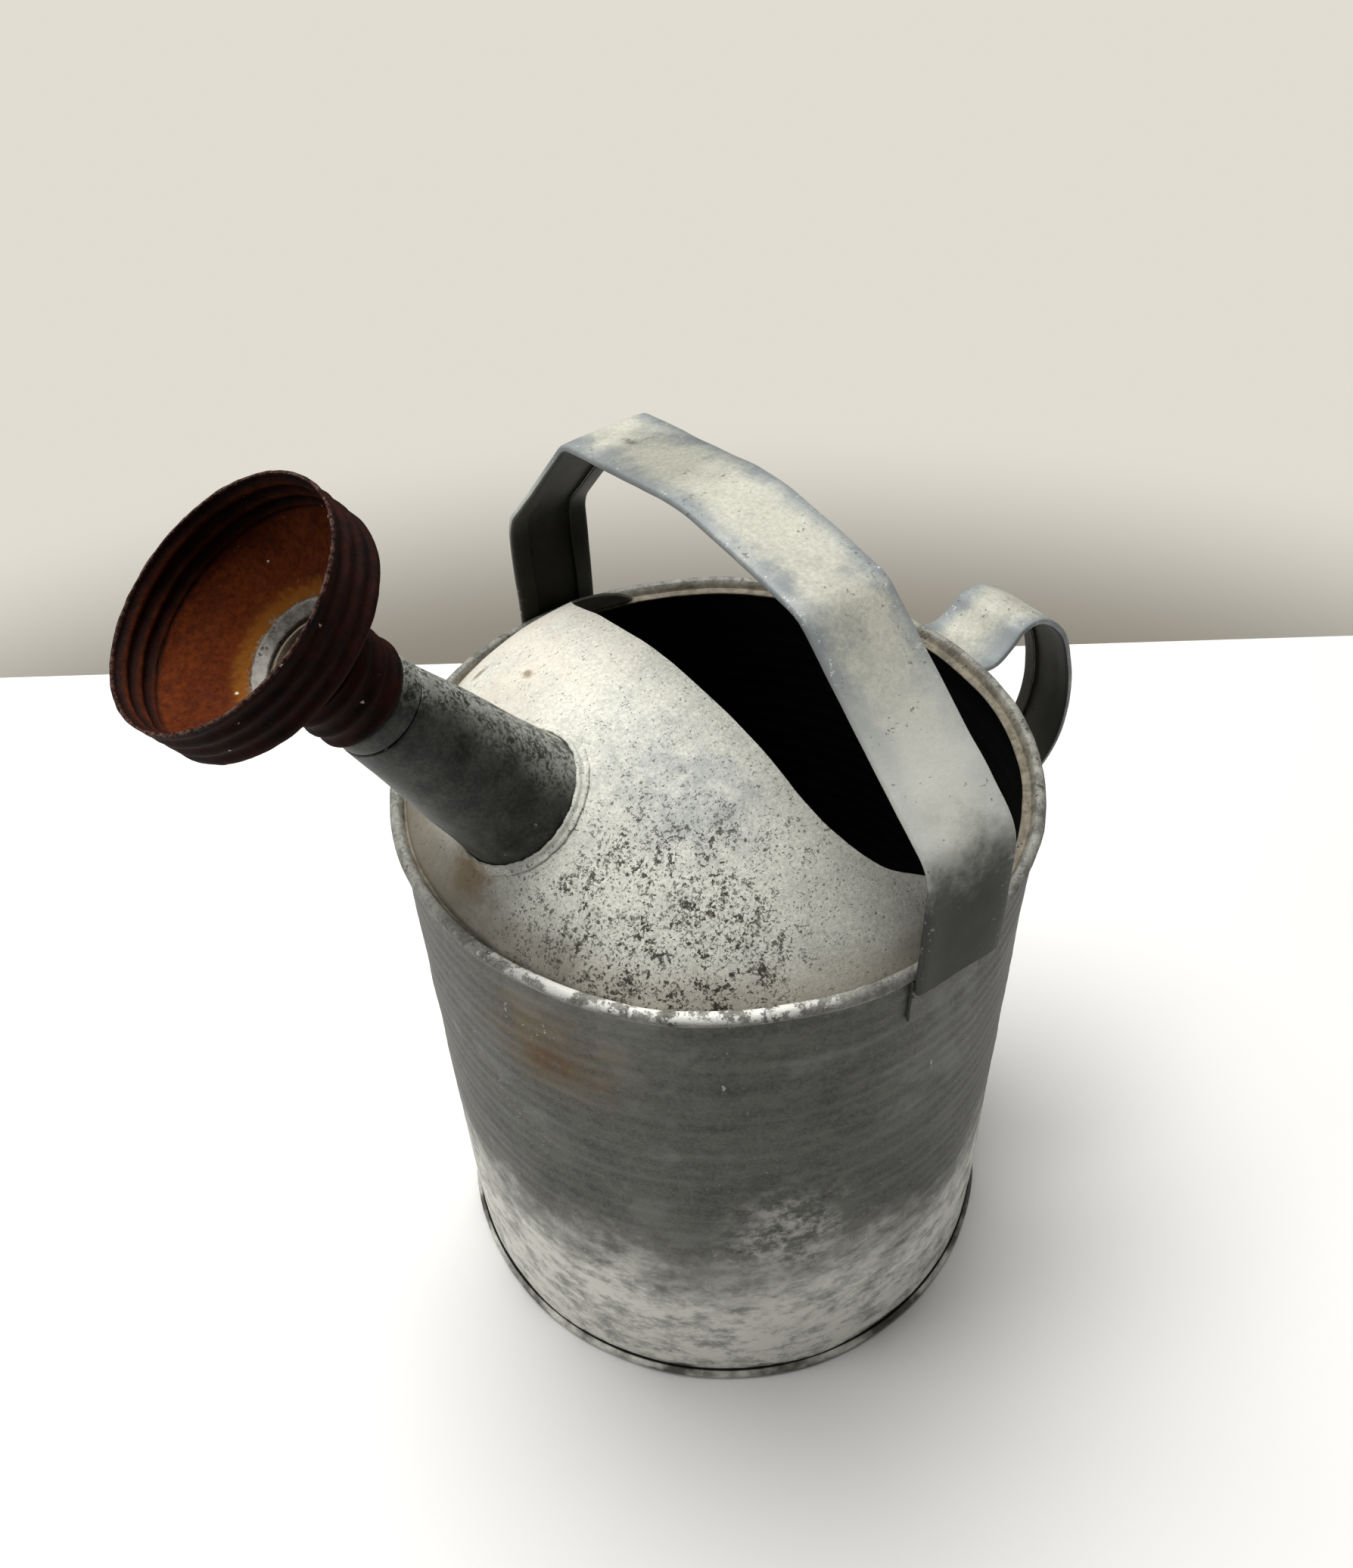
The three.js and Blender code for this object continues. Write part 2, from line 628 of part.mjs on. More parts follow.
const REAR_BOTTOM = RIM_HEIGHT - REAR_DROP;
const REAR_CURVE = new THREE.CatmullRomCurve3([
  [WALL_RADIUS - 8, RIM_HEIGHT - 1.5],
  ...REAR_TAB.map(([out, up]) => [RIM_RADIUS + out, RIM_HEIGHT + up]),
  ...REAR_LOOP.map(([out, down]) => [RIM_RADIUS + out * REAR_PROJECTION, RIM_HEIGHT - down * REAR_DROP]),
  [WALL_RADIUS + 8, REAR_BOTTOM + 3],
  [WALL_RADIUS - 8, REAR_BOTTOM - 2],
].map(([out, z]) => new THREE.Vector3(-out, 0, z)), false, 'centripetal');
const REAR_STEPS = 44;

// The strap is widest at the rim and narrows to the grip; share runs from 0 to 1 along it.
function rearWidth(share) {
  const narrowing = THREE.MathUtils.smoothstep(share, 0.04, 0.42);
  return REAR_TAB_WIDTH + (REAR_GRIP_WIDTH - REAR_TAB_WIDTH) * narrowing;
}

function rearStrap(sectionOf) {
  return strap(REAR_CURVE.getSpacedPoints(REAR_STEPS), new THREE.Vector3(0, 1, 0), (share) => {
    return sectionOf(rearWidth(share));
  });
}

// An upright block round the can's axis.
function drum(radius, low, high) {
  return turned([[0, low], [radius, low], [radius, high], [0, high]], ROUND);
}

// The strap's ends stop just short of the rim and of the wall.
function rearHandle() {
  const between = RIM_BOTTOM - HEM_DEPTH;
  const rim = drum(RIM_RADIUS + GAP, between - 1, RIM_HEIGHT + 20);
  const wall = drum(WALL_RADIUS + GAP, 1, between);
  return rearStrap(strapSection).subtract(rim).subtract(wall);
}

// A band of solder on the wall behind the strap's end, with the strap's own outline left out.
function rearSolder(outer, low, high, width) {
  const inner = WALL_RADIUS + GAP;
  const ring = turned([[inner, low], [outer, low], [outer, high], [inner, high]], ROUND);
  const [near, far] = [-0.5 * WALL_RADIUS, -1.5 * WALL_RADIUS];
  const half = width / 2;
  const region = prism([[near, -half], [near, half], [far, half], [far, -half]], 0, 2 * RIM_HEIGHT);
  return ring.intersect(region).subtract(rearStrap((w) => blockSection(w, GAP)));
}

function rearUpperSolder() {
  const high = RIM_BOTTOM - GAP;
  return rearSolder(RIM_RADIUS, high - 3.7, high, REAR_TAB_WIDTH + 3);
}

function rearLowerSolder() {
  const outer = WALL_RADIUS + GAP + 1.6;
  return rearSolder(outer, REAR_BOTTOM - 7, REAR_BOTTOM + 6, REAR_GRIP_WIDTH + 5);
}

// ---- the assembly -----------------------------------------------------------------------------

const can = new THREE.Group();
piece('body_wall', bodyWall(), ZINC_DARK(), can);
piece('base_plate', basePlate(), ZINC_PALE(), can);
piece('deck', deck(), ZINC_PALE(), can);
piece('top_handle', topHandle(), ZINC_PALE(), can);
piece('handle_lug_near', handleLug(1), ZINC_DARK(), can);
piece('handle_lug_far', handleLug(-1), ZINC_DARK(), can);
piece('solder_handle_near', handleSolder(1), SOLDER(), can);
piece('solder_handle_far', handleSolder(-1), SOLDER(), can);
piece('rear_handle', rearHandle(), ZINC_PALE(), can);
piece('solder_rear_upper', rearUpperSolder(), SOLDER(), can);
piece('solder_rear_lower', rearLowerSolder(), SOLDER(), can);

const spout = new THREE.Group();
spout.applyMatrix4(spoutFrame);
can.add(spout);
piece('spout_tube', spoutTube(), ZINC_DARK(), spout);
piece('spout_ferrule', spoutFerrule(), ZINC_DARK(), spout);
piece('solder_spout_foot', spoutFootSolder(), SOLDER(), spout);
piece('rose_washer', roseWasher(), RUBBER(), spout);
piece('rose_neck', roseNeck(), RUST_DARK(), spout);
piece('rose_cup', roseCup(), RUST_ORANGE(), spout);
piece('rose_solder_ring', roseSolderRing(), SOLDER(), spout);

export default can;
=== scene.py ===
"""An old galvanised watering can with a rusty screw-on rose.

Shapes are drawn in millimetres in the can's own frame: +Z up, the spout towards +X, the rear
handle at -X and the top handle across Y. Spout and rose are drawn upright and then leant over.
"""

import json
import math

import bmesh
import bpy
from mathutils import Matrix, Vector
from mathutils.geometry import interpolate_bezier


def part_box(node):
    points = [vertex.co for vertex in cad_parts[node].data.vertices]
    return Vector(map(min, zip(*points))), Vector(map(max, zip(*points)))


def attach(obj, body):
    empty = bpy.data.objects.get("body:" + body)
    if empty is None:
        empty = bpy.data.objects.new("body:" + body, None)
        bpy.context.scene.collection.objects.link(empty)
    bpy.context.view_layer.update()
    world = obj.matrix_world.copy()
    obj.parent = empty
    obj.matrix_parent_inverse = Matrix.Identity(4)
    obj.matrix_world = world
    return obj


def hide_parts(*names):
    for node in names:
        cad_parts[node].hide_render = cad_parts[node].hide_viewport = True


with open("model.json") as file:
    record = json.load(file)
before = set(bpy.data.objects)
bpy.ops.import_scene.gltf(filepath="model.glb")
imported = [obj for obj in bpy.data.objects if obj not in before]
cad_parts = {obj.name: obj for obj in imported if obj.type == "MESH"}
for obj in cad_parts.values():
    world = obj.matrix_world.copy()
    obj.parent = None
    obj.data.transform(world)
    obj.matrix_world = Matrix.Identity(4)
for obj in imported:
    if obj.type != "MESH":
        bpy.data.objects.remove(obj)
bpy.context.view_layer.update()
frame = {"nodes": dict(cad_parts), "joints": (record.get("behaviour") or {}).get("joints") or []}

MM = 0.001
FULL_TURN = 2 * math.pi
ACROSS_TOP = Vector((-1, 0, 0))   # across the top handle's width
ACROSS_LOOP = Vector((0, 1, 0))   # across the rear handle's width


def box(node):
    """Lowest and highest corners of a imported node, in millimetres."""
    low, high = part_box(node)
    return low / MM, high / MM


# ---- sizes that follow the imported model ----

deck_low, deck_high = box("deck")
wall_low, wall_high = box("body_wall")
base_high = box("base_plate")[1]
strap_low, strap_high = box("top_handle")
lug_low, lug_high = box("handle_lug_near")
loop_low, loop_high = box("rear_handle")

SHEET = 0.9                       # thickness of the rolled sheet
RIM_RADIUS = deck_high.x
RIM_BOTTOM = deck_low.z
BEAD_WIDTH = 4.4
BEAD_HEIGHT = 4.8
RIM_HEIGHT = RIM_BOTTOM + BEAD_HEIGHT
WALL_RADIUS = wall_high.x
RIB_PITCH = 6.8                   # the fine ribs rolled round the wall
RIB_HEIGHT = 0.22
BASE_RADIUS = base_high.x
BASE_HEIGHT = base_high.z
BASE_WIDTH = 4.3
BASE_RECESS = 2.5
RING_RISE = 0.6                   # a shallow ring pressed into the bottom plate

GUTTER = RIM_HEIGHT - 3.2         # floor of the gutter inside the rim
LEDGE_INSIDE = RIM_RADIUS - BEAD_WIDTH - 3.2
DOME_RADIUS = LEDGE_INSIDE + 2.2
DOME_RISE = deck_high.z - GUTTER + 0.1
DOME_FULLNESS = 2.8
DOME_SOFTNESS = 0.9
CUT_X = 12                        # straight edge of the half cover
COVER_CORNER = (                  # how far its edge has come back from there, and its place in Y
    (0, 48), (-0.3, 60), (-3, 70.5), (-10.5, 83), (-21.5, 89), (-43, 96.6), (-52, 101))

HEM_DEPTH = 2.6                   # the straps' folded edges
HEM_RETURN = 7
TOP_WIDTH = strap_high.x - strap_low.x
TOP_X = (strap_high.x + strap_low.x) / 2
KNEE = RIM_HEIGHT + 42            # where the top handle's legs bend inwards
SHOULDER = RIM_HEIGHT + 93        # ends of its slightly arched grip
NEAR_INSET = 58                   # from the near leg in to the grip's near end
FAR_INSET = 45
TAB_WIDTH = loop_high.y - loop_low.y
GRIP_WIDTH = 24
LOOP_FOOT = 119                   # height where the rear handle comes back to the wall
LOOP = (                          # its grip, as shares of its reach past the rim and of its drop
    (0.49, -0.044), (0.78, 0.096), (0.95, 0.317), (1, 0.519), (0.9, 0.721), (0.575, 0.865))

screw = next(joint for joint in frame["joints"] if joint["name"] == "rose_turn")
AXIS = Vector(screw["axis"])
SCREW_PLACE = 110                 # the screw joint's place along the spout's axis
SCREW_PITCH = 6
LEAN = math.atan2(AXIS.x, AXIS.z)
FOOT = Vector(screw["pos_m"]) / MM - SCREW_PLACE * AXIS
SPOUT = Matrix.Translation(FOOT) @ Matrix.Rotation(LEAN, 4, "Y")


def along(node):
    """Where a node starts and ends along the spout's axis, and its greatest radius about it."""
    upright = SPOUT.inverted()
    points = [upright @ (corner.co / MM) for corner in frame["nodes"][node].data.vertices]
    heights = [point.z for point in points]
    return min(heights), max(heights), max(math.hypot(point.x, point.y) for point in points)


TUBE_START, TUBE_END, TUBE_FOOT_RADIUS = along("spout_tube")
FERRULE_START, FERRULE_END, COLLAR_RADIUS = along("spout_ferrule")
NECK_START, NECK_END, NECK_RADIUS = along("rose_neck")
CUP_START, CUP_LIP, CUP_RADIUS = along("rose_cup")
WASHER_START, WASHER_END, WASHER_RADIUS = along("rose_washer")
TUBE_TIP_RADIUS = 14.6
PIPE_RADIUS = 12.2                # the rose's own pipe, between its neck and its cup
THREAD_ROOT = 12.6
THREAD_DEPTH = 1.2
SHOULDER_PLACE = WASHER_END + 0.3
CUP_RINGS = 3
RING_DEPTH = 0.9
ROSE_SLANT = 1.8                  # degrees that the rose leans to one side on its worn screw
CUP_BACK = CUP_LIP - 17.1         # lower edge of the cup's ringed side
FUNNEL_TOP = CUP_BACK + 3.5       # upper edge of its funnel, where that meets the side
FUNNEL_RADIUS = CUP_RADIUS - 1.7


# ---- drawing and shaping ----

def alone(piece):
    """Leaves this piece selected, with nothing else."""
    bpy.ops.object.select_all(action="DESELECT")
    piece.select_set(True)
    bpy.context.view_layer.objects.active = piece


def line(name, points):
    """Draws a closed line by extruding its end from point to point, and stays in edit mode."""
    bpy.ops.object.select_all(action="DESELECT")
    bpy.ops.mesh.primitive_plane_add(size=MM)
    piece = bpy.context.object
    piece.name = name
    piece.data.name = name
    places = [Vector(point) * MM for point in points]
    bpy.ops.object.mode_set(mode="EDIT")
    bpy.ops.mesh.select_all(action="SELECT")
    bpy.ops.mesh.merge(type="CENTER")
    bpy.ops.transform.translate(value=places[0])
    for before, after in zip(places, places[1:]):
        bpy.ops.mesh.extrude_vertices_move(TRANSFORM_OT_translate={"value": after - before})
    shape = bmesh.from_edit_mesh(piece.data)
    for corner in shape.verts:
        corner.select = len(corner.link_edges) == 1
    shape.select_flush(True)
    bmesh.update_edit_mesh(piece.data)
    bpy.ops.mesh.edge_face_add()
    bpy.ops.mesh.select_all(action="SELECT")
    return piece


def fill():
    """Fills the line that has just been drawn with one face."""
    bpy.ops.mesh.select_all(action="SELECT")
    bpy.ops.mesh.edge_face_add()


def tidy(piece):
    """Merges doubled corners, turns the faces outwards and leaves edit mode."""
    bpy.ops.mesh.select_all(action="SELECT")
    bpy.ops.mesh.remove_doubles(threshold=0.002 * MM)
    bpy.ops.mesh.normals_make_consistent(inside=False)
    bpy.ops.object.mode_set(mode="OBJECT")
    return piece


def turned(name, outline, steps):
    """A line of (radius, height) turned once round the upright axis."""
    piece = line(name, [(radius, 0, height) for radius, height in outline])
    bpy.ops.mesh.spin(steps=steps, angle=FULL_TURN, center=(0, 0, 0), axis=(0, 0, 1))
    return tidy(piece)


def swept(name, section, path, across, width_at=None):
    """A strap: its section's face extruded along a path in the upright plane square to across.

    The section's points are (across, depth below the outer face). width_at gives its width as a
    share of the section's own, from a share of the way along.
    """
    count = len(path) - 1
    ways = [(path[min(i + 1, count)] - path[max(i - 1, 0)]).normalized() for i in range(count + 1)]
    outwards = across.cross(ways[0])
    width = width_at(0) if width_at else 1
    start = [path[0] + across * (x * width) + outwards * depth for x, depth in section]
    piece = line(name, start)
    fill()
    axis = "X" if abs(across.x) > abs(across.y) else "Y"
    sign = 1 if across.x + across.y > 0 else -1
    for i in range(1, count + 1):
        bpy.ops.mesh.extrude_region_move(
            TRANSFORM_OT_translate={"value": (path[i] - path[i - 1]) * MM})
        bend = math.asin(max(-1, min(1, ways[i - 1].cross(ways[i]).dot(across)))) * sign
        # With no window an operator turns the other way, so the angle's sign is changed.
        bpy.ops.transform.rotate(value=-bend, orient_axis=axis, center_override=path[i] * MM)
        if width_at:
            step = width_at(i / count) / width_at((i - 1) / count)
            size = [step if abs(part) > 0.5 else 1 for part in across]
            bpy.ops.transform.resize(value=size, center_override=path[i] * MM)
    return tidy(piece)


def modify(piece, kind, **settings):
    """Adds a modifier with these settings and applies it."""
    alone(piece)
    modifier = piece.modifiers.new(kind.lower(), kind)
    for name, value in settings.items():
        setattr(modifier, name, value)
    bpy.ops.object.modifier_apply(modifier=modifier.name)
    return piece


def clouds(name, grain, colour=False):
    """A soft noise for modifiers; grain is the size of its lumps in millimetres."""
    texture = bpy.data.textures.get(name)
    if texture is None:
        texture = bpy.data.textures.new(name, "CLOUDS")
        texture.noise_scale = grain * MM
        texture.noise_depth = 2
        texture.cloud_type = "COLOR" if colour else "GRAYSCALE"
    return texture


def pushed(piece, texture, direction, depth):
    """Moves a piece's skin by a soft noise, through this depth in millimetres."""
    return modify(piece, "DISPLACE", texture=texture, texture_coords="LOCAL",
                  direction=direction, strength=depth * MM, mid_level=0.5)


def dented(piece, depth=1.6):
    """The slight waves that years of use leave, the same on both faces of a sheet.

    All the can's pieces take them from one field, so that joined pieces stay together.
    """
    return pushed(piece, clouds("dents", 38, colour=True), "RGB_TO_XYZ", depth)


def lumpy(piece, grain, depth):
    """A rough skin, pushed in and out."""
    return pushed(piece, clouds(f"lumps_{grain}", grain), "NORMAL", depth)


def seat(slant):
    """Where an upright piece belongs on the spout's axis, slanted about the screw's middle."""
    middle = Matrix.Translation((0, 0, NECK_START + 4))
    return SPOUT @ middle @ Matrix.Rotation(math.radians(slant), 4, "X") @ middle.inverted()


def leant(piece, slant=0, start=Matrix()):
    """Leans a piece over onto the spout's axis; start turns it upright first, where it isn't."""
    alone(piece)
    place = seat(slant) @ start
    place.translation *= MM
    piece.matrix_world = place
    bpy.ops.object.transform_apply(location=True, rotation=True, scale=True)
    return piece


def cut(piece, tool, operation="DIFFERENCE"):
    """Cuts a piece with a closed tool, which is then thrown away."""
    modify(piece, "BOOLEAN", object=tool, operation=operation, solver="EXACT")
    bpy.data.objects.remove(tool)
    return piece


def fitted(piece, body, slot, finish, *nodes, smooth=40):
    """Gives a piece its finish and its place in the assembly."""
    alone(piece)
    bpy.ops.object.shade_smooth_by_angle(angle=math.radians(smooth))
    piece.data.materials.clear()
    piece.data.materials.append(finish)
    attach(piece, body)
    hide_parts(*nodes)


def arc(centre, radii, start, end, steps):
    """Points of an ellipse's arc as pairs; angles are in degrees."""
    angles = [math.radians(start + (end - start) * i / steps) for i in range(steps + 1)]
    return [(centre[0] + radii[0] * math.cos(angle), centre[1] + radii[1] * math.sin(angle))
            for angle in angles]


def rounded(corners, steps=8):
    """An open path with each inner corner (point, radius) rounded."""
    path = [corners[0][0]]
    for (before, _), (at, radius), (after, _) in zip(corners, corners[1:], corners[2:]):
        back = (before - at).normalized()
        on = (after - at).normalized()
        reach = radius / math.tan(back.angle(on) / 2)
        start, end = at + back * reach, at + on * reach
        path += interpolate_bezier(start, start.lerp(at, 2 / 3), end.lerp(at, 2 / 3), end, steps)
    return path + [corners[-1][0]]


def through(points, steps):
    """A smooth path through the points, by the centripetal Catmull-Rom rule."""
    ends = [2 * points[0] - points[1], *points, 2 * points[-1] - points[-2]]
    path = []
    for a, b, c, d in zip(ends, ends[1:], ends[2:], ends[3:]):
        t0 = 0
        t1 = t0 + math.sqrt((b - a).length)
        t2 = t1 + math.sqrt((c - b).length)
        t3 = t2 + math.sqrt((d - c).length)
        for step in range(steps):
            t = t1 + (t2 - t1) * step / steps
            ab = a.lerp(b, (t - t0) / (t1 - t0))
            bc = b.lerp(c, (t - t1) / (t2 - t1))
            cd = c.lerp(d, (t - t2) / (t3 - t2))
            abc = ab.lerp(bc, (t - t0) / (t2 - t0))
            bcd = bc.lerp(cd, (t - t1) / (t3 - t1))
            path.append(abc.lerp(bcd, (t - t1) / (t2 - t1)))
    return path + [points[-1]]


def spaced(path, step):
    """The same path with its points evenly spaced."""
    lengths = [(b - a).length for a, b in zip(path, path[1:])]
    count = round(sum(lengths) / step)
    wanted = sum(lengths) / count
    result, travelled = [path[0].copy()], 0
    for (a, b), length in zip(zip(path, path[1:]), lengths):
        while len(result) < count and travelled + length >= wanted * len(result):
            result.append(a.lerp(b, (wanted * len(result) - travelled) / length))
        travelled += length
    return result + [path[-1].copy()]


# ---- finishes ----

class Wire:
    """One socket of a finish. Arithmetic on it adds Math nodes."""

    def __init__(self, finish, socket):
        self.finish = finish
        self.socket = socket

    def math(self, operation, first, second):
        return self.finish.node("ShaderNodeMath", {"operation": operation}, {0: first, 1: second})

    def __add__(self, other):
        return self.math("ADD", self, other)

    def __radd__(self, other):
        return self.math("ADD", other, self)

    def __sub__(self, other):
        return self.math("SUBTRACT", self, other)

    def __rsub__(self, other):
        return self.math("SUBTRACT", other, self)

    def __mul__(self, other):
        return self.math("MULTIPLY", self, other)

    def __rmul__(self, other):
        return self.math("MULTIPLY", other, self)

    def __truediv__(self, other):
        return self.math("DIVIDE", self, other)

    def __pow__(self, other):
        return self.math("POWER", self, other)

    def __abs__(self):
        return self.math("ABSOLUTE", self, 0)


DULL = {"Specular IOR Level": 0.12}   # rust hardly shines
SOFT = {"Specular IOR Level": 0.3}    # and dirty sheet shines a little


def tone(red, green, blue):
    """A colour from its values on a screen, 0 to 255."""
    return tuple((value / 255) ** 2.2 for value in (red, green, blue)) + (1,)


class Finish:
    """A procedural material on a piece's own coordinates, in metres."""

    def __init__(self, name):
        self.material = bpy.data.materials.new(name)
        self.material.use_nodes = True
        self.tree = self.material.node_tree
        self.tree.nodes.clear()
        self.place = self.node("ShaderNodeTexCoord", out="Object")
        parts = self.node("ShaderNodeSeparateXYZ", values={0: self.place}, out="X")
        outputs = parts.socket.node.outputs
        self.x, self.y, self.z = (Wire(self, outputs[axis]) for axis in "XYZ")

    def node(self, kind, settings=None, values=None, out=0):
        """Adds a node, sets it up, links or sets its sockets and returns one of its outputs."""
        made = self.tree.nodes.new(kind)
        for name, value in (settings or {}).items():
            setattr(made, name, value)
        for key, value in (values or {}).items():
            if isinstance(value, Wire):
                self.tree.links.new(value.socket, made.inputs[key])
            else:
                made.inputs[key].default_value = value
        return None if out is None else Wire(self, made.outputs[out])

    def noise(self, grain, detail=4, rough=0.6, place=None):
        """Cloudy noise, 0 to 1; grain is the size of its lumps in millimetres."""
        return self.node("ShaderNodeTexNoise", values={
            "Vector": place or self.place, "Scale": 1 / (grain * MM), "Detail": detail,
            "Roughness": rough})

    def rise(self, value, low, high):
        """0 below low and 1 above high, with a smooth step between them; low may be the higher."""
        return self.node("ShaderNodeMapRange", {"interpolation_type": "SMOOTHSTEP"},
                         {0: value, 1: low, 2: high, 3: 0, 4: 1})

    def mix(self, share, first, second):
        """The first colour where share is 0 and the second where it is 1."""
        return self.node("ShaderNodeMix", {"data_type": "RGBA"},
                         {0: share, 6: first, 7: second}, out=2)

    def tinted(self, share, colour, factor):
        """The colour multiplied by a factor, where share is 1."""
        return self.node("ShaderNodeMix", {"data_type": "RGBA", "blend_type": "MULTIPLY"},
                         {0: share, 6: colour, 7: factor}, out=2)

    def radius(self):
        """Distance from the can's upright axis, in millimetres."""
        return (self.x * self.x + self.y * self.y) ** 0.5 / MM

    def stretched(self, x=1, y=1, z=1):
        """The piece's coordinates, stretched so that a pattern on them is drawn out."""
        return self.node("ShaderNodeVectorMath", {"operation": "MULTIPLY"},
                         {0: self.place, 1: (x, y, z)})

    def spots(self, spacing, size, grain=None, place=None):
        """Ragged spots, one in each cell of a grid; size is a share of the spacing."""
        cells = self.node("ShaderNodeTexVoronoi", values={
            "Vector": place or self.place, "Scale": 1 / (spacing * MM), "Randomness": 1},
            out="Distance")
        ragged = cells + (self.noise(grain or spacing / 3, 3) - 0.5) * 0.5
        return self.rise(ragged, size, size * 0.6)

    def near(self, x, y, z, reach, stretch=(1, 1, 1)):
        """1 at a place, given in millimetres, fading to 0 at the reach."""
        away = self.node("ShaderNodeVectorMath", {"operation": "DISTANCE"}, {
            0: self.stretched(*stretch),
            1: [part * MM * share for part, share in zip((x, y, z), stretch)]}, out="Value")
        ragged = away + (self.noise(reach / 3, 4) - 0.5) * (reach * MM)
        return self.rise(ragged, reach * MM, reach * 0.25 * MM)

    def done(self, colour, roughness, height, metallic=0.0, depth=0.1, **constants):
        """Joins the layers into a surface; height is a bump of that depth in millimetres."""
        bump = self.node("ShaderNodeBump", values={
            "Strength": 1.0, "Distance": depth * MM, "Height": height})
        shader = self.node("ShaderNodeBsdfPrincipled", values={
            "Base Color": colour, "Roughness": roughness, "Metallic": metallic, "Normal": bump,
            **constants})
        self.node("ShaderNodeOutputMaterial", values={"Surface": shader}, out=None)
        return self.material


def wall_zinc():
    """Dark galvanised sheet: faint streaks, chalk near the ground, a rust stain and scratches, and
    painted shade, nearly black, on the faces inside the can.
    """
    f = Finish("wall_zinc")
    streaks = f.noise(7, 5, 0.6, f.stretched(0.1, 0.1, 1))
    mottle = f.noise(12, 7, 0.75)
    grain = f.noise(1.1, 3, 0.7)
    blotches = f.noise(48, 4, 0.6)
    colour = f.rise(mottle + (grain - 0.5) * 0.5, 0.22, 0.8)
    colour = f.mix(colour, tone(46, 47, 44), tone(108, 108, 102))
    colour = f.mix(f.rise(streaks, 0.45, 0.72) * 0.3, colour, tone(122, 123, 118))
    colour = f.tinted(f.rise(blotches, 0.45, 0.7) * 0.55, colour, (0.6, 0.6, 0.58, 1))
    pale = f.rise(blotches + (mottle - 0.5) * 0.6, 0.46, 0.3)
    colour = f.mix(pale * 0.35, colour, tone(142, 143, 138))
    edge = f.z / MM + (f.noise(34, 5, 0.65) - 0.5) * 90 + (f.noise(6, 4) - 0.5) * 22
    smoke = f.rise(f.noise(9, 6, 0.75, f.stretched(0.6, 0.6, 1)), 0.34, 0.58)
    chalk = f.rise(edge, 100, 46) * (0.3 + 0.7 * smoke)
    colour = f.mix(chalk * 0.95, colour, tone(230, 229, 221))
    patch = f.near(43, 96, 96, 30, (1, 1, 0.7)) * f.rise(f.noise(7, 6, 0.75), 0.4, 0.62)
    colour = f.mix(patch * 0.8, colour, tone(188, 188, 180))
    stain = f.near(96, 44, 190, 36, (1, 1, 1.1)) * f.rise(f.noise(11, 6, 0.75), 0.3, 0.6)
    colour = f.mix(stain * 0.65, colour, tone(108, 94, 64))
    rust = f.near(96, 44, 184, 15, (1, 1, 1.2)) * f.rise(f.noise(5, 5, 0.75), 0.32, 0.6)
    colour = f.mix(rust * 0.55, colour, tone(112, 76, 42))
    seam_rust = f.rise(f.z / MM + (f.noise(5, 4) - 0.5) * 7, 8.5, 5.5)
    colour = f.mix(seam_rust * f.rise(f.noise(22, 3), 0.36, 0.56) * 0.85, colour, tone(46, 37, 28))
    flecks = f.rise(f.noise(1.6, 3, 0.8) + (f.noise(16, 3) - 0.5) * 0.5, 0.72, 0.76)
    colour = f.mix(flecks * 0.7, colour, tone(196, 197, 192))
    scratches = f.spots(8, 0.07, 3, f.stretched(1, 1, 0.3)) * f.rise(f.noise(30, 3), 0.5, 0.6)
    colour = f.mix(scratches * 0.7, colour, tone(190, 191, 186))
    # Painted shade: faces turned towards the can's middle, inside the wall and on the bottom plate,
    # are made nearly black.
    inside = f.rise(inward(f, (0, 0, RIM_HEIGHT / 2)), -0.2, 0.2)
    inside = inside * f.rise(f.radius(), WALL_RADIUS + 0.6, WALL_RADIUS + 0.1)
    colour = f.mix(inside * 0.98, colour, tone(6, 7, 8))
    roughness = 0.56 + chalk * 0.3 + (mottle - 0.5) * 0.25 + rust * 0.2 + inside * 0.2
    height = streaks * 0.3 + grain * 0.3 + mottle * 0.6 + chalk * 0.4 + flecks * 0.3
    return f.done(colour, roughness, height, metallic=0.25, depth=0.2, **SOFT)


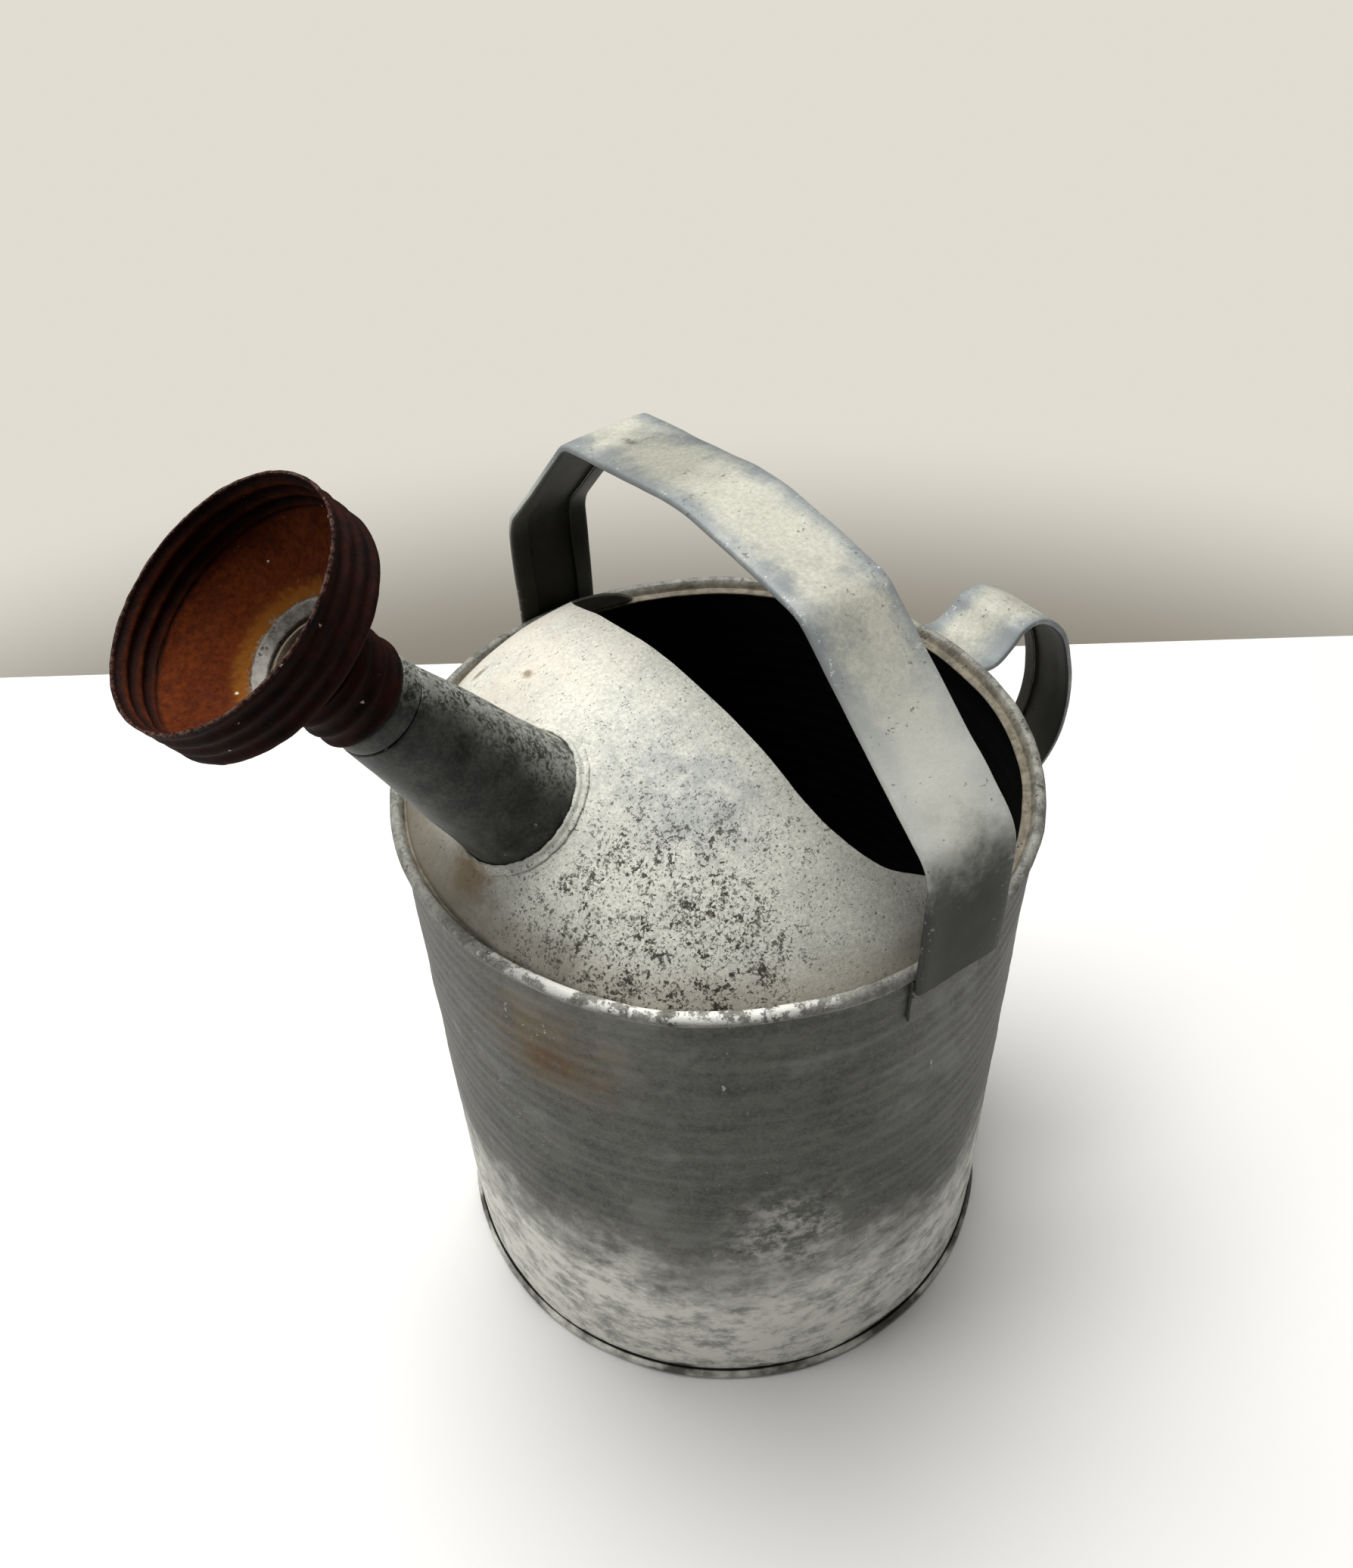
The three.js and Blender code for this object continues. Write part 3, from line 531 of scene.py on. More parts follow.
def deck_zinc():
    """Pale weathered zinc: a fine grain, crowds of dark pits, a yellow stain by the spout, and
    painted shade by the gutter and on the underside.
    """
    f = Finish("deck_zinc")
    grain = f.noise(0.6, 2, 0.6)
    sand = f.noise(1.4, 5, 0.85)
    mottle = f.noise(15, 6, 0.65)
    blotches = f.noise(42, 4, 0.55)
    colour = f.mix(f.rise(sand, 0.25, 0.75), tone(168, 169, 161), tone(222, 222, 212))
    colour = f.mix(f.rise(grain, 0.58, 0.7) * 0.5, colour, tone(118, 118, 111))
    colour = f.tinted(f.rise(mottle, 0.46, 0.68) * 0.6, colour, (0.76, 0.78, 0.8, 1))
    far = f.near(40, -62, 240, 66, (1, 1, 0.6))
    colour = f.mix(far * f.rise(blotches, 0.3, 0.6) * 0.6, colour, tone(204, 194, 180))
    smear = f.near(38, 38, 260, 30, (1, 0.7, 1)) * f.rise(f.noise(12, 5), 0.3, 0.6)
    colour = f.tinted(smear * 0.8, colour, (0.6, 0.63, 0.69, 1))
    colour = f.tinted(f.rise(blotches, 0.5, 0.66) * 0.45, colour, (0.7, 0.72, 0.74, 1))
    radius = f.radius()
    # Darker and browner towards the rim: dust, with painted shade where the dome sinks into the
    # gutter.
    rim_shade_and_dust = f.rise(radius + (mottle - 0.5) * 10, 93, 100)
    colour = f.mix(rim_shade_and_dust * 0.5, colour, tone(158, 150, 136))
    stain = f.near(95, 4, 231, 11, (1, 0.8, 1))
    colour = f.mix(stain * 0.75, colour, tone(132, 98, 44))
    # A dark brown stain at the front left by the gutter, darkened further as painted shade.
    stain_and_shade = f.near(88, -34, 222, 76, (1, 0.8, 1)) * f.rise(radius, 86, 97)
    colour = f.mix(stain_and_shade * 0.8, colour, tone(92, 86, 72))
    front = f.near(64, 62, 230, 66, (1, 1, 0.9))
    crowd = f.noise(6, 5, 0.7) - 0.5
    pits = f.rise(f.noise(1, 2, 0.7) + crowd * 0.5 + front * 0.1, 0.665, 0.69)
    blots = f.rise(f.noise(1.7, 3, 0.7) + crowd * 0.6 + front * 0.12, 0.7, 0.73) * front
    colour = f.mix(pits * 0.75, colour, tone(76, 74, 66))
    colour = f.mix(blots * 0.92, colour, tone(44, 38, 28))
    rings = f.spots(3.4, 0.14, 0.8) * f.rise(f.noise(14, 3), 0.44, 0.6)
    colour = f.mix(rings * 0.6, colour, tone(82, 80, 72))
    gouges = f.near(50, -65, 243, 5, (1, 1.8, 1)) + f.near(45, -40, 257, 4, (1.8, 1, 1))
    colour = f.mix(gouges * 0.8, colour, tone(120, 104, 76))
    # Painted shade: the dome's underside, below its middle layer, is made nearly black.
    under = f.rise(above_dome(f, radius), -1, -2.5)
    colour = f.mix(under, colour, tone(40, 40, 36))
    roughness = 0.76 - rim_shade_and_dust * 0.05 + (mottle - 0.5) * 0.2
    height = grain * 0.4 + sand * 0.5 + mottle * 0.8 - pits * 0.5 - blots * 0.9 - gouges
    return f.done(colour, roughness, height, metallic=0.1, depth=0.24)


def above_dome(f, radius):
    """How far a place is above the dome's middle layer, in millimetres; below is negative."""
    share = radius.math("MINIMUM", radius / DOME_RADIUS, 1)
    rest = radius.math("MAXIMUM", 1 - share ** DOME_FULLNESS, 0)
    return f.z / MM - GUTTER - DOME_RISE * rest ** DOME_SOFTNESS + 0.6


def rim_zinc():
    """The rolled seam: grey, with chalk and a painted highlight on its top in front, and dust and
    painted shade in the gutter inside it.
    """
    f = Finish("rim_zinc")
    mottle = f.noise(8, 6, 0.75)
    grain = f.noise(1.2, 3, 0.7)
    colour = f.rise(mottle + (grain - 0.5) * 0.4, 0.3, 0.7)
    colour = f.mix(colour, tone(84, 84, 79), tone(144, 144, 137))
    # Bright patches on the bead's top, only on the side towards the camera: chalky wear, with a
    # painted highlight.
    front = f.near(74, 74, 223, 84, (1, 1, 1))
    worn = f.rise(f.noise(6, 6, 0.8) + front * 0.08, 0.53, 0.6)
    top = f.rise(f.z / MM, RIM_HEIGHT - 2.6, RIM_HEIGHT - 0.9)
    colour = f.mix(worn * top * front * 0.9, colour, tone(222, 222, 217))
    # The ledge and gutter inside the bead: brownish dust, darkened as painted shade.
    inner = f.rise(f.radius(), RIM_RADIUS - 3.2, RIM_RADIUS - 4.4)
    gutter_shade_and_dust = f.mix(f.rise(mottle, 0.35, 0.65), tone(74, 68, 55), tone(118, 110, 95))
    colour = f.mix(inner * 0.9, colour, gutter_shade_and_dust)
    spots = f.rise(f.noise(2.2, 3, 0.7) + (f.noise(10, 3) - 0.5) * 0.6, 0.66, 0.7)
    colour = f.mix(spots * 0.8, colour, tone(48, 42, 34))
    roughness = 0.68 + (mottle - 0.5) * 0.3
    height = mottle * 0.8 + grain * 0.4 - spots * 0.6 + worn * top * 0.4
    return f.done(colour, roughness, height, metallic=0.1, depth=0.3)


def handle_zinc():
    """Strap zinc: cream on its flats, bluish grey towards the edges, dark feet, and painted shade
    on the undersides.
    """
    f = Finish("handle_zinc")
    sand = f.noise(1.4, 4, 0.75)
    mottle = f.noise(10, 6, 0.7)
    smoke = f.noise(32, 5, 0.6)
    colour = f.mix(f.rise(sand, 0.2, 0.8), tone(154, 154, 144), tone(188, 187, 175))
    is_loop = f.rise(f.x / MM, -70, -80)
    off = abs(f.x / MM - TOP_X) * (1 - is_loop) + abs(f.y / MM) * is_loop
    blue = f.rise(off + (mottle - 0.5) * 16 + (smoke - 0.5) * 18, TOP_WIDTH * 0.16, TOP_WIDTH * 0.5)
    colour = f.mix(blue * 0.8, colour, tone(122, 129, 134))
    dull = f.rise(smoke + (mottle - 0.5) * 0.5, 0.46, 0.64)
    colour = f.tinted(dull * 0.7, colour, (0.7, 0.72, 0.74, 1))
    leg = f.rise(f.z / MM, 312, 280) * (1 - is_loop)
    colour = f.mix(leg * 0.7, colour, tone(208, 210, 203))
    crown = f.near(TOP_X, -30, 324, 34, (0.4, 1, 0.5)) * (1 - is_loop)
    colour = f.tinted(crown * 0.8, colour, (0.58, 0.59, 0.58, 1))
    foot = f.rise(f.z / MM + (mottle - 0.5) * 34, 276, 250) * (1 - is_loop)
    colour = f.mix(foot * 0.95, colour, tone(36, 36, 30))
    pits = f.rise(f.noise(1.7, 3, 0.7) + (f.noise(12, 3) - 0.5) * 0.5, 0.68, 0.72)
    colour = f.mix(pits * 0.65, colour, tone(86, 84, 76))
    nicks = f.rise(f.noise(2.4, 4, 0.8) + (f.noise(14, 3) - 0.5) * 0.3, 0.62, 0.68)
    colour = f.mix(nicks * f.rise(off, 9, 15) * 0.6, colour, tone(214, 217, 216))
    gouge = f.near(TOP_X + 1, -49, 320, 4, (1.6, 0.7, 1))
    colour = f.mix(gouge * 0.8, colour, tone(70, 66, 56))
    # Painted shade: the straps' faces turned in towards each handle's middle, their undersides, are
    # made nearly black.
    inner = f.rise(inward(f, (TOP_X, 0, 232)), 0.15, 0.45) * (1 - is_loop)
    inner_loop = f.rise(inward(f, (-134, 0, 176)), 0.15, 0.45) * is_loop
    underside_shade = f.mix(mottle, tone(20, 20, 15), tone(52, 51, 43))
    colour = f.mix((inner + inner_loop) * 0.93, colour, underside_shade)
    roughness = 0.66 + (mottle - 0.5) * 0.25 - blue * 0.1
    height = sand * 0.35 + mottle * 0.7 - pits * 0.6 - gouge * 1.5
    return f.done(colour, roughness, height, metallic=0.15, depth=0.2, **SOFT)


def inward(f, centre):
    """1 where a surface faces a centre, given in millimetres, and -1 where it faces away."""
    facing = f.node("ShaderNodeTexCoord", out="Normal")
    towards = f.node("ShaderNodeVectorMath", {"operation": "SUBTRACT"}, {
        0: [part * MM for part in centre], 1: f.place})
    towards = f.node("ShaderNodeVectorMath", {"operation": "NORMALIZE"}, {0: towards})
    return f.node("ShaderNodeVectorMath", {"operation": "DOT_PRODUCT"},
                  {0: facing, 1: towards}, out="Value")


def spout_zinc():
    """Dark smooth zinc with pale speckles on its upper side, painted shade on its front and lower
    side, and a few bright scratches.
    """
    f = Finish("spout_zinc")
    mottle = f.noise(9, 7, 0.75)
    grain = f.noise(1.1, 3, 0.7)
    colour = f.rise(mottle + (grain - 0.5) * 0.4, 0.28, 0.78)
    colour = f.mix(colour, tone(34, 36, 32), tone(92, 95, 90))
    blotches = f.noise(30, 4)
    colour = f.tinted(f.rise(blotches, 0.5, 0.7) * 0.5, colour, (0.66, 0.67, 0.65, 1))
    upwards = f.z / MM * 0.5 - f.x / MM * 0.7 - f.y / MM * 0.55 - 77
    side = f.rise(upwards + (blotches - 0.5) * 20, -6, 12)
    speckle = f.rise(f.noise(1.5, 5, 0.8) + (mottle - 0.5) * 0.5, 0.42, 0.56) * side
    # Painted shade: the spout's front and lower side, away from its speckled upper side, is
    # darkened.
    colour = f.mix((1 - side) * 0.25, colour, tone(26, 28, 24))
    colour = f.mix(speckle * 0.75, colour, tone(186, 188, 180))
    scratches = f.spots(8, 0.09, place=f.stretched(1, 1, 0.4)) * f.rise(f.noise(20, 3), 0.5, 0.6)
    colour = f.mix(scratches, colour, tone(206, 209, 205))
    pits = f.rise(f.noise(1.8, 3, 0.7), 0.66, 0.7)
    colour = f.mix(pits * 0.7, colour, tone(28, 27, 24))
    roughness = 0.5 + (mottle - 0.5) * 0.25 + speckle * 0.2
    height = mottle * 0.6 + grain * 0.25 + speckle * 0.3 - pits * 0.5
    return f.done(colour, roughness, height, metallic=0.3, depth=0.15, **SOFT)


def solder_grey(name, light):
    """Dull solder; light is how far it is wiped bright."""
    f = Finish(name)
    mottle = f.noise(4, 5, 0.7)
    pale = [round(share * (96 + 70 * light)) for share in (1, 0.98, 0.93)]
    colour = f.mix(f.rise(mottle, 0.3, 0.7), tone(58, 56, 50), tone(*pale))
    specks = f.spots(2.2, 0.25) * f.rise(f.noise(6, 3), 0.5, 0.6)
    colour = f.mix(specks * 0.7, colour, tone(58, 44, 30))
    roughness = 0.5 + (mottle - 0.5) * 0.3
    return f.done(colour, roughness, mottle - specks * 0.6, metallic=0.4, depth=0.25)


def rose_rust():
    """Rust: nearly black brown on the sides, with painted shade inside the cup, orange on the cup's
    floor, limescale by the pipe.
    """
    f = Finish("rose_rust")
    upright = f.node("ShaderNodeMapping", {"vector_type": "TEXTURE"}, {
        "Vector": f.place, "Location": seat(ROSE_SLANT).translation * MM,
        "Rotation": seat(ROSE_SLANT).to_euler()})
    parts = f.node("ShaderNodeSeparateXYZ", values={0: upright}, out="X").socket.node.outputs
    x, y, height = (Wire(f, parts[axis]) for axis in "XYZ")
    radius = (x * x + y * y) ** 0.5 / MM
    grain = f.noise(0.9, 3, 0.7)
    mottle = f.noise(6, 5, 0.7)
    # Nearly black brown: dark rust on the rose, and inside the cup painted shade as well.
    dark_rust_and_shade = f.mix(f.rise(mottle, 0.3, 0.75), tone(15, 6, 3), tone(46, 19, 11))
    dark_rust_and_shade = f.mix(f.rise(grain, 0.55, 0.75) * 0.35, dark_rust_and_shade, tone(62, 27, 15))
    dusty = f.rise(f.noise(17, 4), 0.5, 0.7)
    dark_rust_and_shade = f.mix(dusty * 0.15, dark_rust_and_shade, tone(62, 36, 28))
    orange = f.mix(f.rise(f.noise(2, 6, 0.8), 0.3, 0.7), tone(60, 25, 8), tone(96, 46, 16))
    orange = f.tinted(f.rise(f.noise(13, 5), 0.42, 0.66) * 0.7, orange, (0.6, 0.48, 0.42, 1))
    burns = f.spots(5.5, 0.24, 1.5) * f.rise(f.noise(11, 3), 0.46, 0.58)
    orange = f.mix(burns * 0.75, orange, tone(70, 26, 14))
    lime = f.rise(radius + (f.noise(2.2, 5, 0.75) - 0.5) * 9, 17, 15.4)
    orange = f.mix(lime * 0.85, orange, tone(128, 122, 108))
    halo = f.rise(radius + (f.noise(2, 4, 0.7) - 0.5) * 8, 21, 18) * (1 - lime)
    orange = f.mix(halo * 0.45, orange, tone(140, 92, 34))
    slope = (FUNNEL_TOP - CUP_START - 1.2) / (FUNNEL_RADIUS - PIPE_RADIUS)
    above = height / MM - CUP_START - (radius - PIPE_RADIUS) * slope
    floor = f.rise(above, 0.2, 0.6) * f.rise(radius, FUNNEL_RADIUS + 0.3, FUNNEL_RADIUS - 0.8)
    colour = f.mix(floor, dark_rust_and_shade, orange)
    worn = f.rise(f.noise(1.3, 4, 0.8), 0.42, 0.62)
    lip = f.rise(height / MM, CUP_LIP - 0.7, CUP_LIP - 0.3) * worn
    colour = f.mix(lip * 0.4, colour, tone(120, 96, 86))
    specks = f.spots(5, 0.06) * f.rise(f.noise(13, 2), 0.5, 0.56)
    colour = f.mix(specks, colour, tone(196, 180, 160))
    roughness = 0.76 + (mottle - 0.5) * 0.25 + floor * 0.15
    relief = mottle * 0.6 + grain * 0.5 - burns * floor * 0.4
    return f.done(colour, roughness, relief, depth=0.3, **DULL)


def black_rubber():
    """Perished rubber."""
    f = Finish("black_rubber")
    grain = f.noise(1.5, 4, 0.7)
    colour = f.mix(f.rise(grain, 0.4, 0.7), tone(26, 25, 24), tone(52, 49, 46))
    return f.done(colour, 0.85, grain, depth=0.1)


WALL_ZINC = wall_zinc()
DECK_ZINC = deck_zinc()
RIM_ZINC = rim_zinc()
HANDLE_ZINC = handle_zinc()
SPOUT_ZINC = spout_zinc()
SOLDER = solder_grey("solder", 0.35)
BRIGHT_SOLDER = solder_grey("bright_solder", 0.9)
LIMED_SOLDER = solder_grey("limed_solder", 0.25)
ROSE_RUST = rose_rust()
RUBBER = black_rubber()


# ---- the can's body ----

def wall_sheet():
    """The rolled wall with its fine ribs."""
    low, high = wall_low.z, RIM_BOTTOM + 1
    rows = round(6 * (high - low) / RIB_PITCH)
    outside = []
    for row in range(rows + 1):
        z = low + (high - low) * row / rows
        rib = 0.5 * RIB_HEIGHT * (math.sin(FULL_TURN * z / RIB_PITCH) - 1)
        outside.append((WALL_RADIUS + rib, z))
    inside = [(radius - SHEET, z) for radius, z in reversed(outside)]
    piece = turned("wall_sheet", outside + inside, 150)
    fitted(dented(piece), "can", "wall_zinc", WALL_ZINC, "body_wall", smooth=60)


def bottom():
    """The bottom plate, set up inside its folded seam."""
    radii = (BASE_WIDTH / 2, BASE_HEIGHT / 2)
    centre = (BASE_RADIUS - radii[0], radii[1])
    inner = BASE_RADIUS - BASE_WIDTH
    low, high = BASE_RECESS, BASE_RECESS + SHEET
    ring = [(60, 0), (62, RING_RISE), (80, RING_RISE), (82, 0)]
    ring_above = [(82.4, 0), (80.3, RING_RISE), (61.7, RING_RISE), (59.6, 0)]
    outline = [(0, low)] + [(radius, low + rise) for radius, rise in ring]
    outline += [(inner - 1.5, low), (inner - 0.4, low - 0.6)]
    outline += arc(centre, radii, 200, 340, 10) + arc(centre, radii, 350, 520, 14)
    outline += [(inner, high + 0.6), (inner - 1, high)]
    outline += [(radius, high + rise) for radius, rise in ring_above] + [(0, high)]
    piece = turned("bottom", outline, 150)
    fitted(dented(piece, 0.8), "can", "wall_zinc", WALL_ZINC, "base_plate")


def dome_height(radius):
    share = min(radius / DOME_RADIUS, 1)
    return GUTTER + DOME_RISE * (1 - share ** DOME_FULLNESS) ** DOME_SOFTNESS


def cover_plan():
    """The half cover's outline seen from above, as a tall block."""
    side = [Vector((CUT_X, 0, 0))]
    side += [Vector((CUT_X + back, across, 0)) for back, across in COVER_CORNER]
    edge = through(side, 6)[1:]
    far = 1.2 * RIM_RADIUS
    beyond = [Vector((edge[-1].x, far, 0)), Vector((far, far, 0))]
    half = edge + beyond
    mirrored = [Vector((point.x, -point.y, 0)) for point in reversed(half)]
    block = line("cover_plan", half + mirrored)
    fill()
    bpy.ops.mesh.extrude_region_move(TRANSFORM_OT_translate={"value": (0, 0, 2 * RIM_HEIGHT * MM)})
    return tidy(block)


def tube_radius(place):
    """The spout tube's outer radius at a place along its axis."""
    slope = (TUBE_TIP_RADIUS - TUBE_FOOT_RADIUS) / (TUBE_END - TUBE_START)
    return TUBE_FOOT_RADIUS + slope * (place - TUBE_START)


def spout_hole():
    """A closed cone that cuts the spout's hole, slightly wider than the spout's tube."""
    play = 0.2
    start, end = TUBE_START - 20, TUBE_END
    outside = [(tube_radius(place) + play, place) for place in (start, end)]
    return leant(turned("hole", [(0, start)] + outside + [(0, end)], 96))


def domed_cover():
    """The domed half cover, with its straight cut edge and the hole for the spout."""
    count = 56
    radii = [DOME_RADIUS * math.sin(i / count * math.pi / 2) for i in range(count + 1)]
    outline = [(radius, dome_height(radius)) for radius in radii]
    outline += [(max(radius - 0.15, 0), dome_height(radius) - SHEET) for radius in reversed(radii)]
    piece = turned("domed_cover", outline, 180)
    cut(piece, cover_plan(), "INTERSECT")
    cut(piece, spout_hole())
    fitted(dented(piece), "can", "deck_zinc", DECK_ZINC, "deck", smooth=35)


def rim_seam():
    """The rolled seam round the top and the narrow ledge inside it."""
    radii = (BEAD_WIDTH / 2, BEAD_HEIGHT / 2)
    centre = (RIM_RADIUS - radii[0], RIM_HEIGHT - radii[1])
    inner = RIM_RADIUS - BEAD_WIDTH
    outline = [(LEDGE_INSIDE + 0.2, GUTTER - SHEET), (inner + 0.3, GUTTER - SHEET)]
    outline += arc(centre, radii, 215, 485, 26)
    outline += [(inner + 0.1, GUTTER + 0.9), (inner - 0.4, GUTTER + 0.15), (inner - 1, GUTTER)]
    outline += [(LEDGE_INSIDE + 0.3, GUTTER), (LEDGE_INSIDE, GUTTER - 0.3)]
    piece = turned("rim_seam", outline, 220)
    lumpy(piece, 9, 0.35)
    fitted(dented(piece), "can", "deck_zinc", RIM_ZINC, "deck")


# ---- handles ----

def hemmed(width):
    """A strap's section: both edges are folded down and back under its face."""
    half, roll = width / 2, HEM_DEPTH / 2
    face = [(half * (1 - i / 8) - roll * (1 - i / 8), 0) for i in range(8, 0, -1)]
    fold = [(x, y) for x, y in arc((half - roll, -roll), (roll, roll), 90, -90, 8)]
    back = [(x, -HEM_DEPTH) for x in (half - roll - 2, half - roll - 4, half - HEM_RETURN)]
    lip = [(half - HEM_RETURN - 0.3, -HEM_DEPTH + 0.4), (half - HEM_RETURN, -HEM_DEPTH + SHEET)]
    inside = arc((half - roll, -roll), (roll - SHEET, roll - SHEET), -90, 90, 4)
    under = [(half * (1 - i / 5) - roll * (1 - i / 5), -SHEET) for i in range(1, 5)]
    side = [(0, 0)] + face + fold[1:] + back + lip + inside + under
    return side + [(0, -SHEET)] + [(-x, y) for x, y in reversed(side[1:])]


def top_strap():
    """The top handle: two upright legs, bent inwards at the knees, and a slightly arched grip."""
    def at(y, z):
        return Vector((TOP_X, y, z))
    reach = strap_high.y
    path = rounded([
        (at(reach, strap_low.z), 0),
        (at(reach, KNEE), 18),
        (at(reach - NEAR_INSET, SHOULDER + 1), 14),
        (at(0, strap_high.z + 1), 120),
        (at(FAR_INSET - reach, SHOULDER), 12),
        (at(-reach, KNEE), 18),
        (at(-reach, strap_low.z), 0),
    ], 12)
    piece = swept("top_strap", hemmed(TOP_WIDTH), spaced(path, 2.6), ACROSS_TOP)
    fitted(dented(piece), "can", "handle_zinc", HANDLE_ZINC, "top_handle", smooth=50)


def rear_strap():
    """The rear handle: a wide tab on the rim, a hump, then a narrower grip down to the wall."""
    reach = -loop_low.x
    beyond = reach - RIM_RADIUS
    drop = RIM_HEIGHT - LOOP_FOOT
    points = [(RIM_RADIUS - 2, RIM_HEIGHT - 2.2), (RIM_RADIUS + 6, RIM_HEIGHT - 3.2),
              (RIM_RADIUS + 13, RIM_HEIGHT + 0.5), (RIM_RADIUS + 19, RIM_HEIGHT + 5)]
    points += [(RIM_RADIUS + out * beyond, RIM_HEIGHT - down * drop) for out, down in LOOP]
    points += [(WALL_RADIUS + 8, RIM_HEIGHT - drop + 3), (WALL_RADIUS - 0.8, RIM_HEIGHT - drop - 1)]
    path = spaced(through([Vector((-x, 0, z)) for x, z in points], 12), 2.2)

    def width_at(share):
        narrowing = min(max((share - 0.04) / 0.38, 0), 1)
        narrowing = narrowing * narrowing * (3 - 2 * narrowing)
        return 1 + (GRIP_WIDTH / TAB_WIDTH - 1) * narrowing
    piece = swept("rear_strap", hemmed(TAB_WIDTH), path, ACROSS_LOOP, width_at)
    fitted(dented(piece), "can", "handle_zinc", HANDLE_ZINC, "rear_handle", smooth=50)


def strap_foot(side):
    """The plate on the wall under one foot of the top handle; side is 1 near, -1 far."""
    inner, outer = WALL_RADIUS + 0.3, WALL_RADIUS + 1.5
    low, high = lug_low.z, lug_high.z
    name = "near" if side > 0 else "far"
    plate = line(f"strap_foot_{name}", [
        (inner, 0, low), (outer - 0.3, 0, low), (outer, 0, low + 0.4),
        (outer, 0, high), (inner, 0, high)])
    fill()
    wide = (lug_high.x - lug_low.x) / WALL_RADIUS
    bpy.ops.mesh.spin(steps=24, angle=wide, center=(0, 0, 0), axis=(0, 0, 1))
    # With no window the spin goes the other way, so the plate starts half its width ahead.
    start = math.atan2(side * WALL_RADIUS, TOP_X) + wide / 2
    tidy(plate).data.transform(Matrix.Rotation(start, 4, "Z"))
    fitted(dented(plate), "can", "wall_zinc", WALL_ZINC, f"handle_lug_{name}")


def bead(name, node, finish, body="can", voxel=0.5, lumps=0.5):
    """A bead of solder: a packed fillet's plain solid, melted and made lumpy. The rose's slants
    with it."""
    mesh = frame["nodes"][node].data.copy()
    piece = bpy.data.objects.new(name, mesh)
    bpy.context.scene.collection.objects.link(piece)
    alone(piece)
    bpy.ops.object.mode_set(mode="EDIT")
    tidy(piece)
    modify(piece, "REMESH", mode="VOXEL", voxel_size=voxel * MM)
    modify(piece, "SMOOTH", factor=0.6, iterations=4)
    lumpy(piece, 5, lumps)
    if body == "can":
        dented(piece)
    else:
        leant(piece, ROSE_SLANT, start=SPOUT.inverted())
    fitted(piece, body, "solder", finish, node, smooth=80)


# ---- spout and rose ----

def spout_sleeve():
    """The spout's tapered tube."""
    rows = 40
    places = [TUBE_START + (TUBE_END - 0.3 - TUBE_START) * i / rows for i in range(rows + 1)]
    outside = [(tube_radius(place), place) for place in places]
    inside = [(radius - SHEET, place) for radius, place in reversed(outside)]
    end = [(outside[-1][0] - 0.3, TUBE_END)]
    piece = leant(turned("spout_sleeve", outside + end + inside, 110))
    fitted(dented(piece), "can", "spout_zinc", SPOUT_ZINC, "spout_tube")


def ridge(angle, height):
    """A right-hand thread's ridge: 1 on its crest and 0 in its root."""
    return (0.5 + 0.5 * math.cos(FULL_TURN * height / SCREW_PITCH - angle)) ** 1.3


def fade(value, start, end, length):
    """Rises from 0 past start and falls back to 0 before end."""
    rising = min(max((value - start) / length, 0), 1)
    falling = min(max((end - value) / length, 0), 1)
    return min(rising, falling)


def threaded(piece, share_at, depth):
    """Moves an upright piece's skin out along the thread, by a share that share_at gives for a
    place's radius and height."""
    for corner in piece.data.vertices:
        place = corner.co / MM
        radius = math.hypot(place.x, place.y)
        thread = ridge(math.atan2(place.y, place.x), place.z)
        grow = 1 + depth * share_at(radius, place.z, thread) / max(radius, 1)
        corner.co = Vector((place.x * grow, place.y * grow, place.z)) * MM
    return piece


def ferrule():
    """The collar in the spout's end with the male thread above it."""
    collar_top = NECK_START - 0.3
    bore = THREAD_ROOT - 1
    rows = 48
    thread = [(THREAD_ROOT, collar_top + 0.4 + (FERRULE_END - collar_top - 0.8) * i / rows)
              for i in range(rows + 1)]
    outline = [(bore, FERRULE_START), (TUBE_TIP_RADIUS - 1.3, FERRULE_START),
               (TUBE_TIP_RADIUS - 1.3, TUBE_END + 0.2), (COLLAR_RADIUS - 0.5, TUBE_END + 0.1),
               (COLLAR_RADIUS, TUBE_END + 0.5), (COLLAR_RADIUS, collar_top - 0.6),
               (COLLAR_RADIUS - 0.5, collar_top)]
    end = [(THREAD_ROOT - 0.4, FERRULE_END), (bore, FERRULE_END)]
    piece = turned("ferrule", outline + thread + end, 96)

    def share_at(radius, height, thread):
        if radius < THREAD_ROOT - 0.2 or height < collar_top + 0.3:
            return 0
        return fade(height, collar_top, FERRULE_END + 1, 2.5) * thread
    threaded(piece, share_at, THREAD_DEPTH)
    fitted(leant(piece), "can", "spout_zinc", SPOUT_ZINC, "spout_ferrule")


def washer():
    """The sealing ring inside the rose's neck."""
    inner, middle = PIPE_RADIUS - 1, (WASHER_START + WASHER_END) / 2
    outline = [(inner, WASHER_START), (WASHER_RADIUS - 0.2, WASHER_START), (WASHER_RADIUS, middle),
               (WASHER_RADIUS - 0.2, WASHER_END), (inner, WASHER_END), (inner + 0.2, middle)]
    piece = leant(turned("washer", outline, 96))
    fitted(piece, "rose_washer", "washer_rubber", RUBBER, "rose_washer")


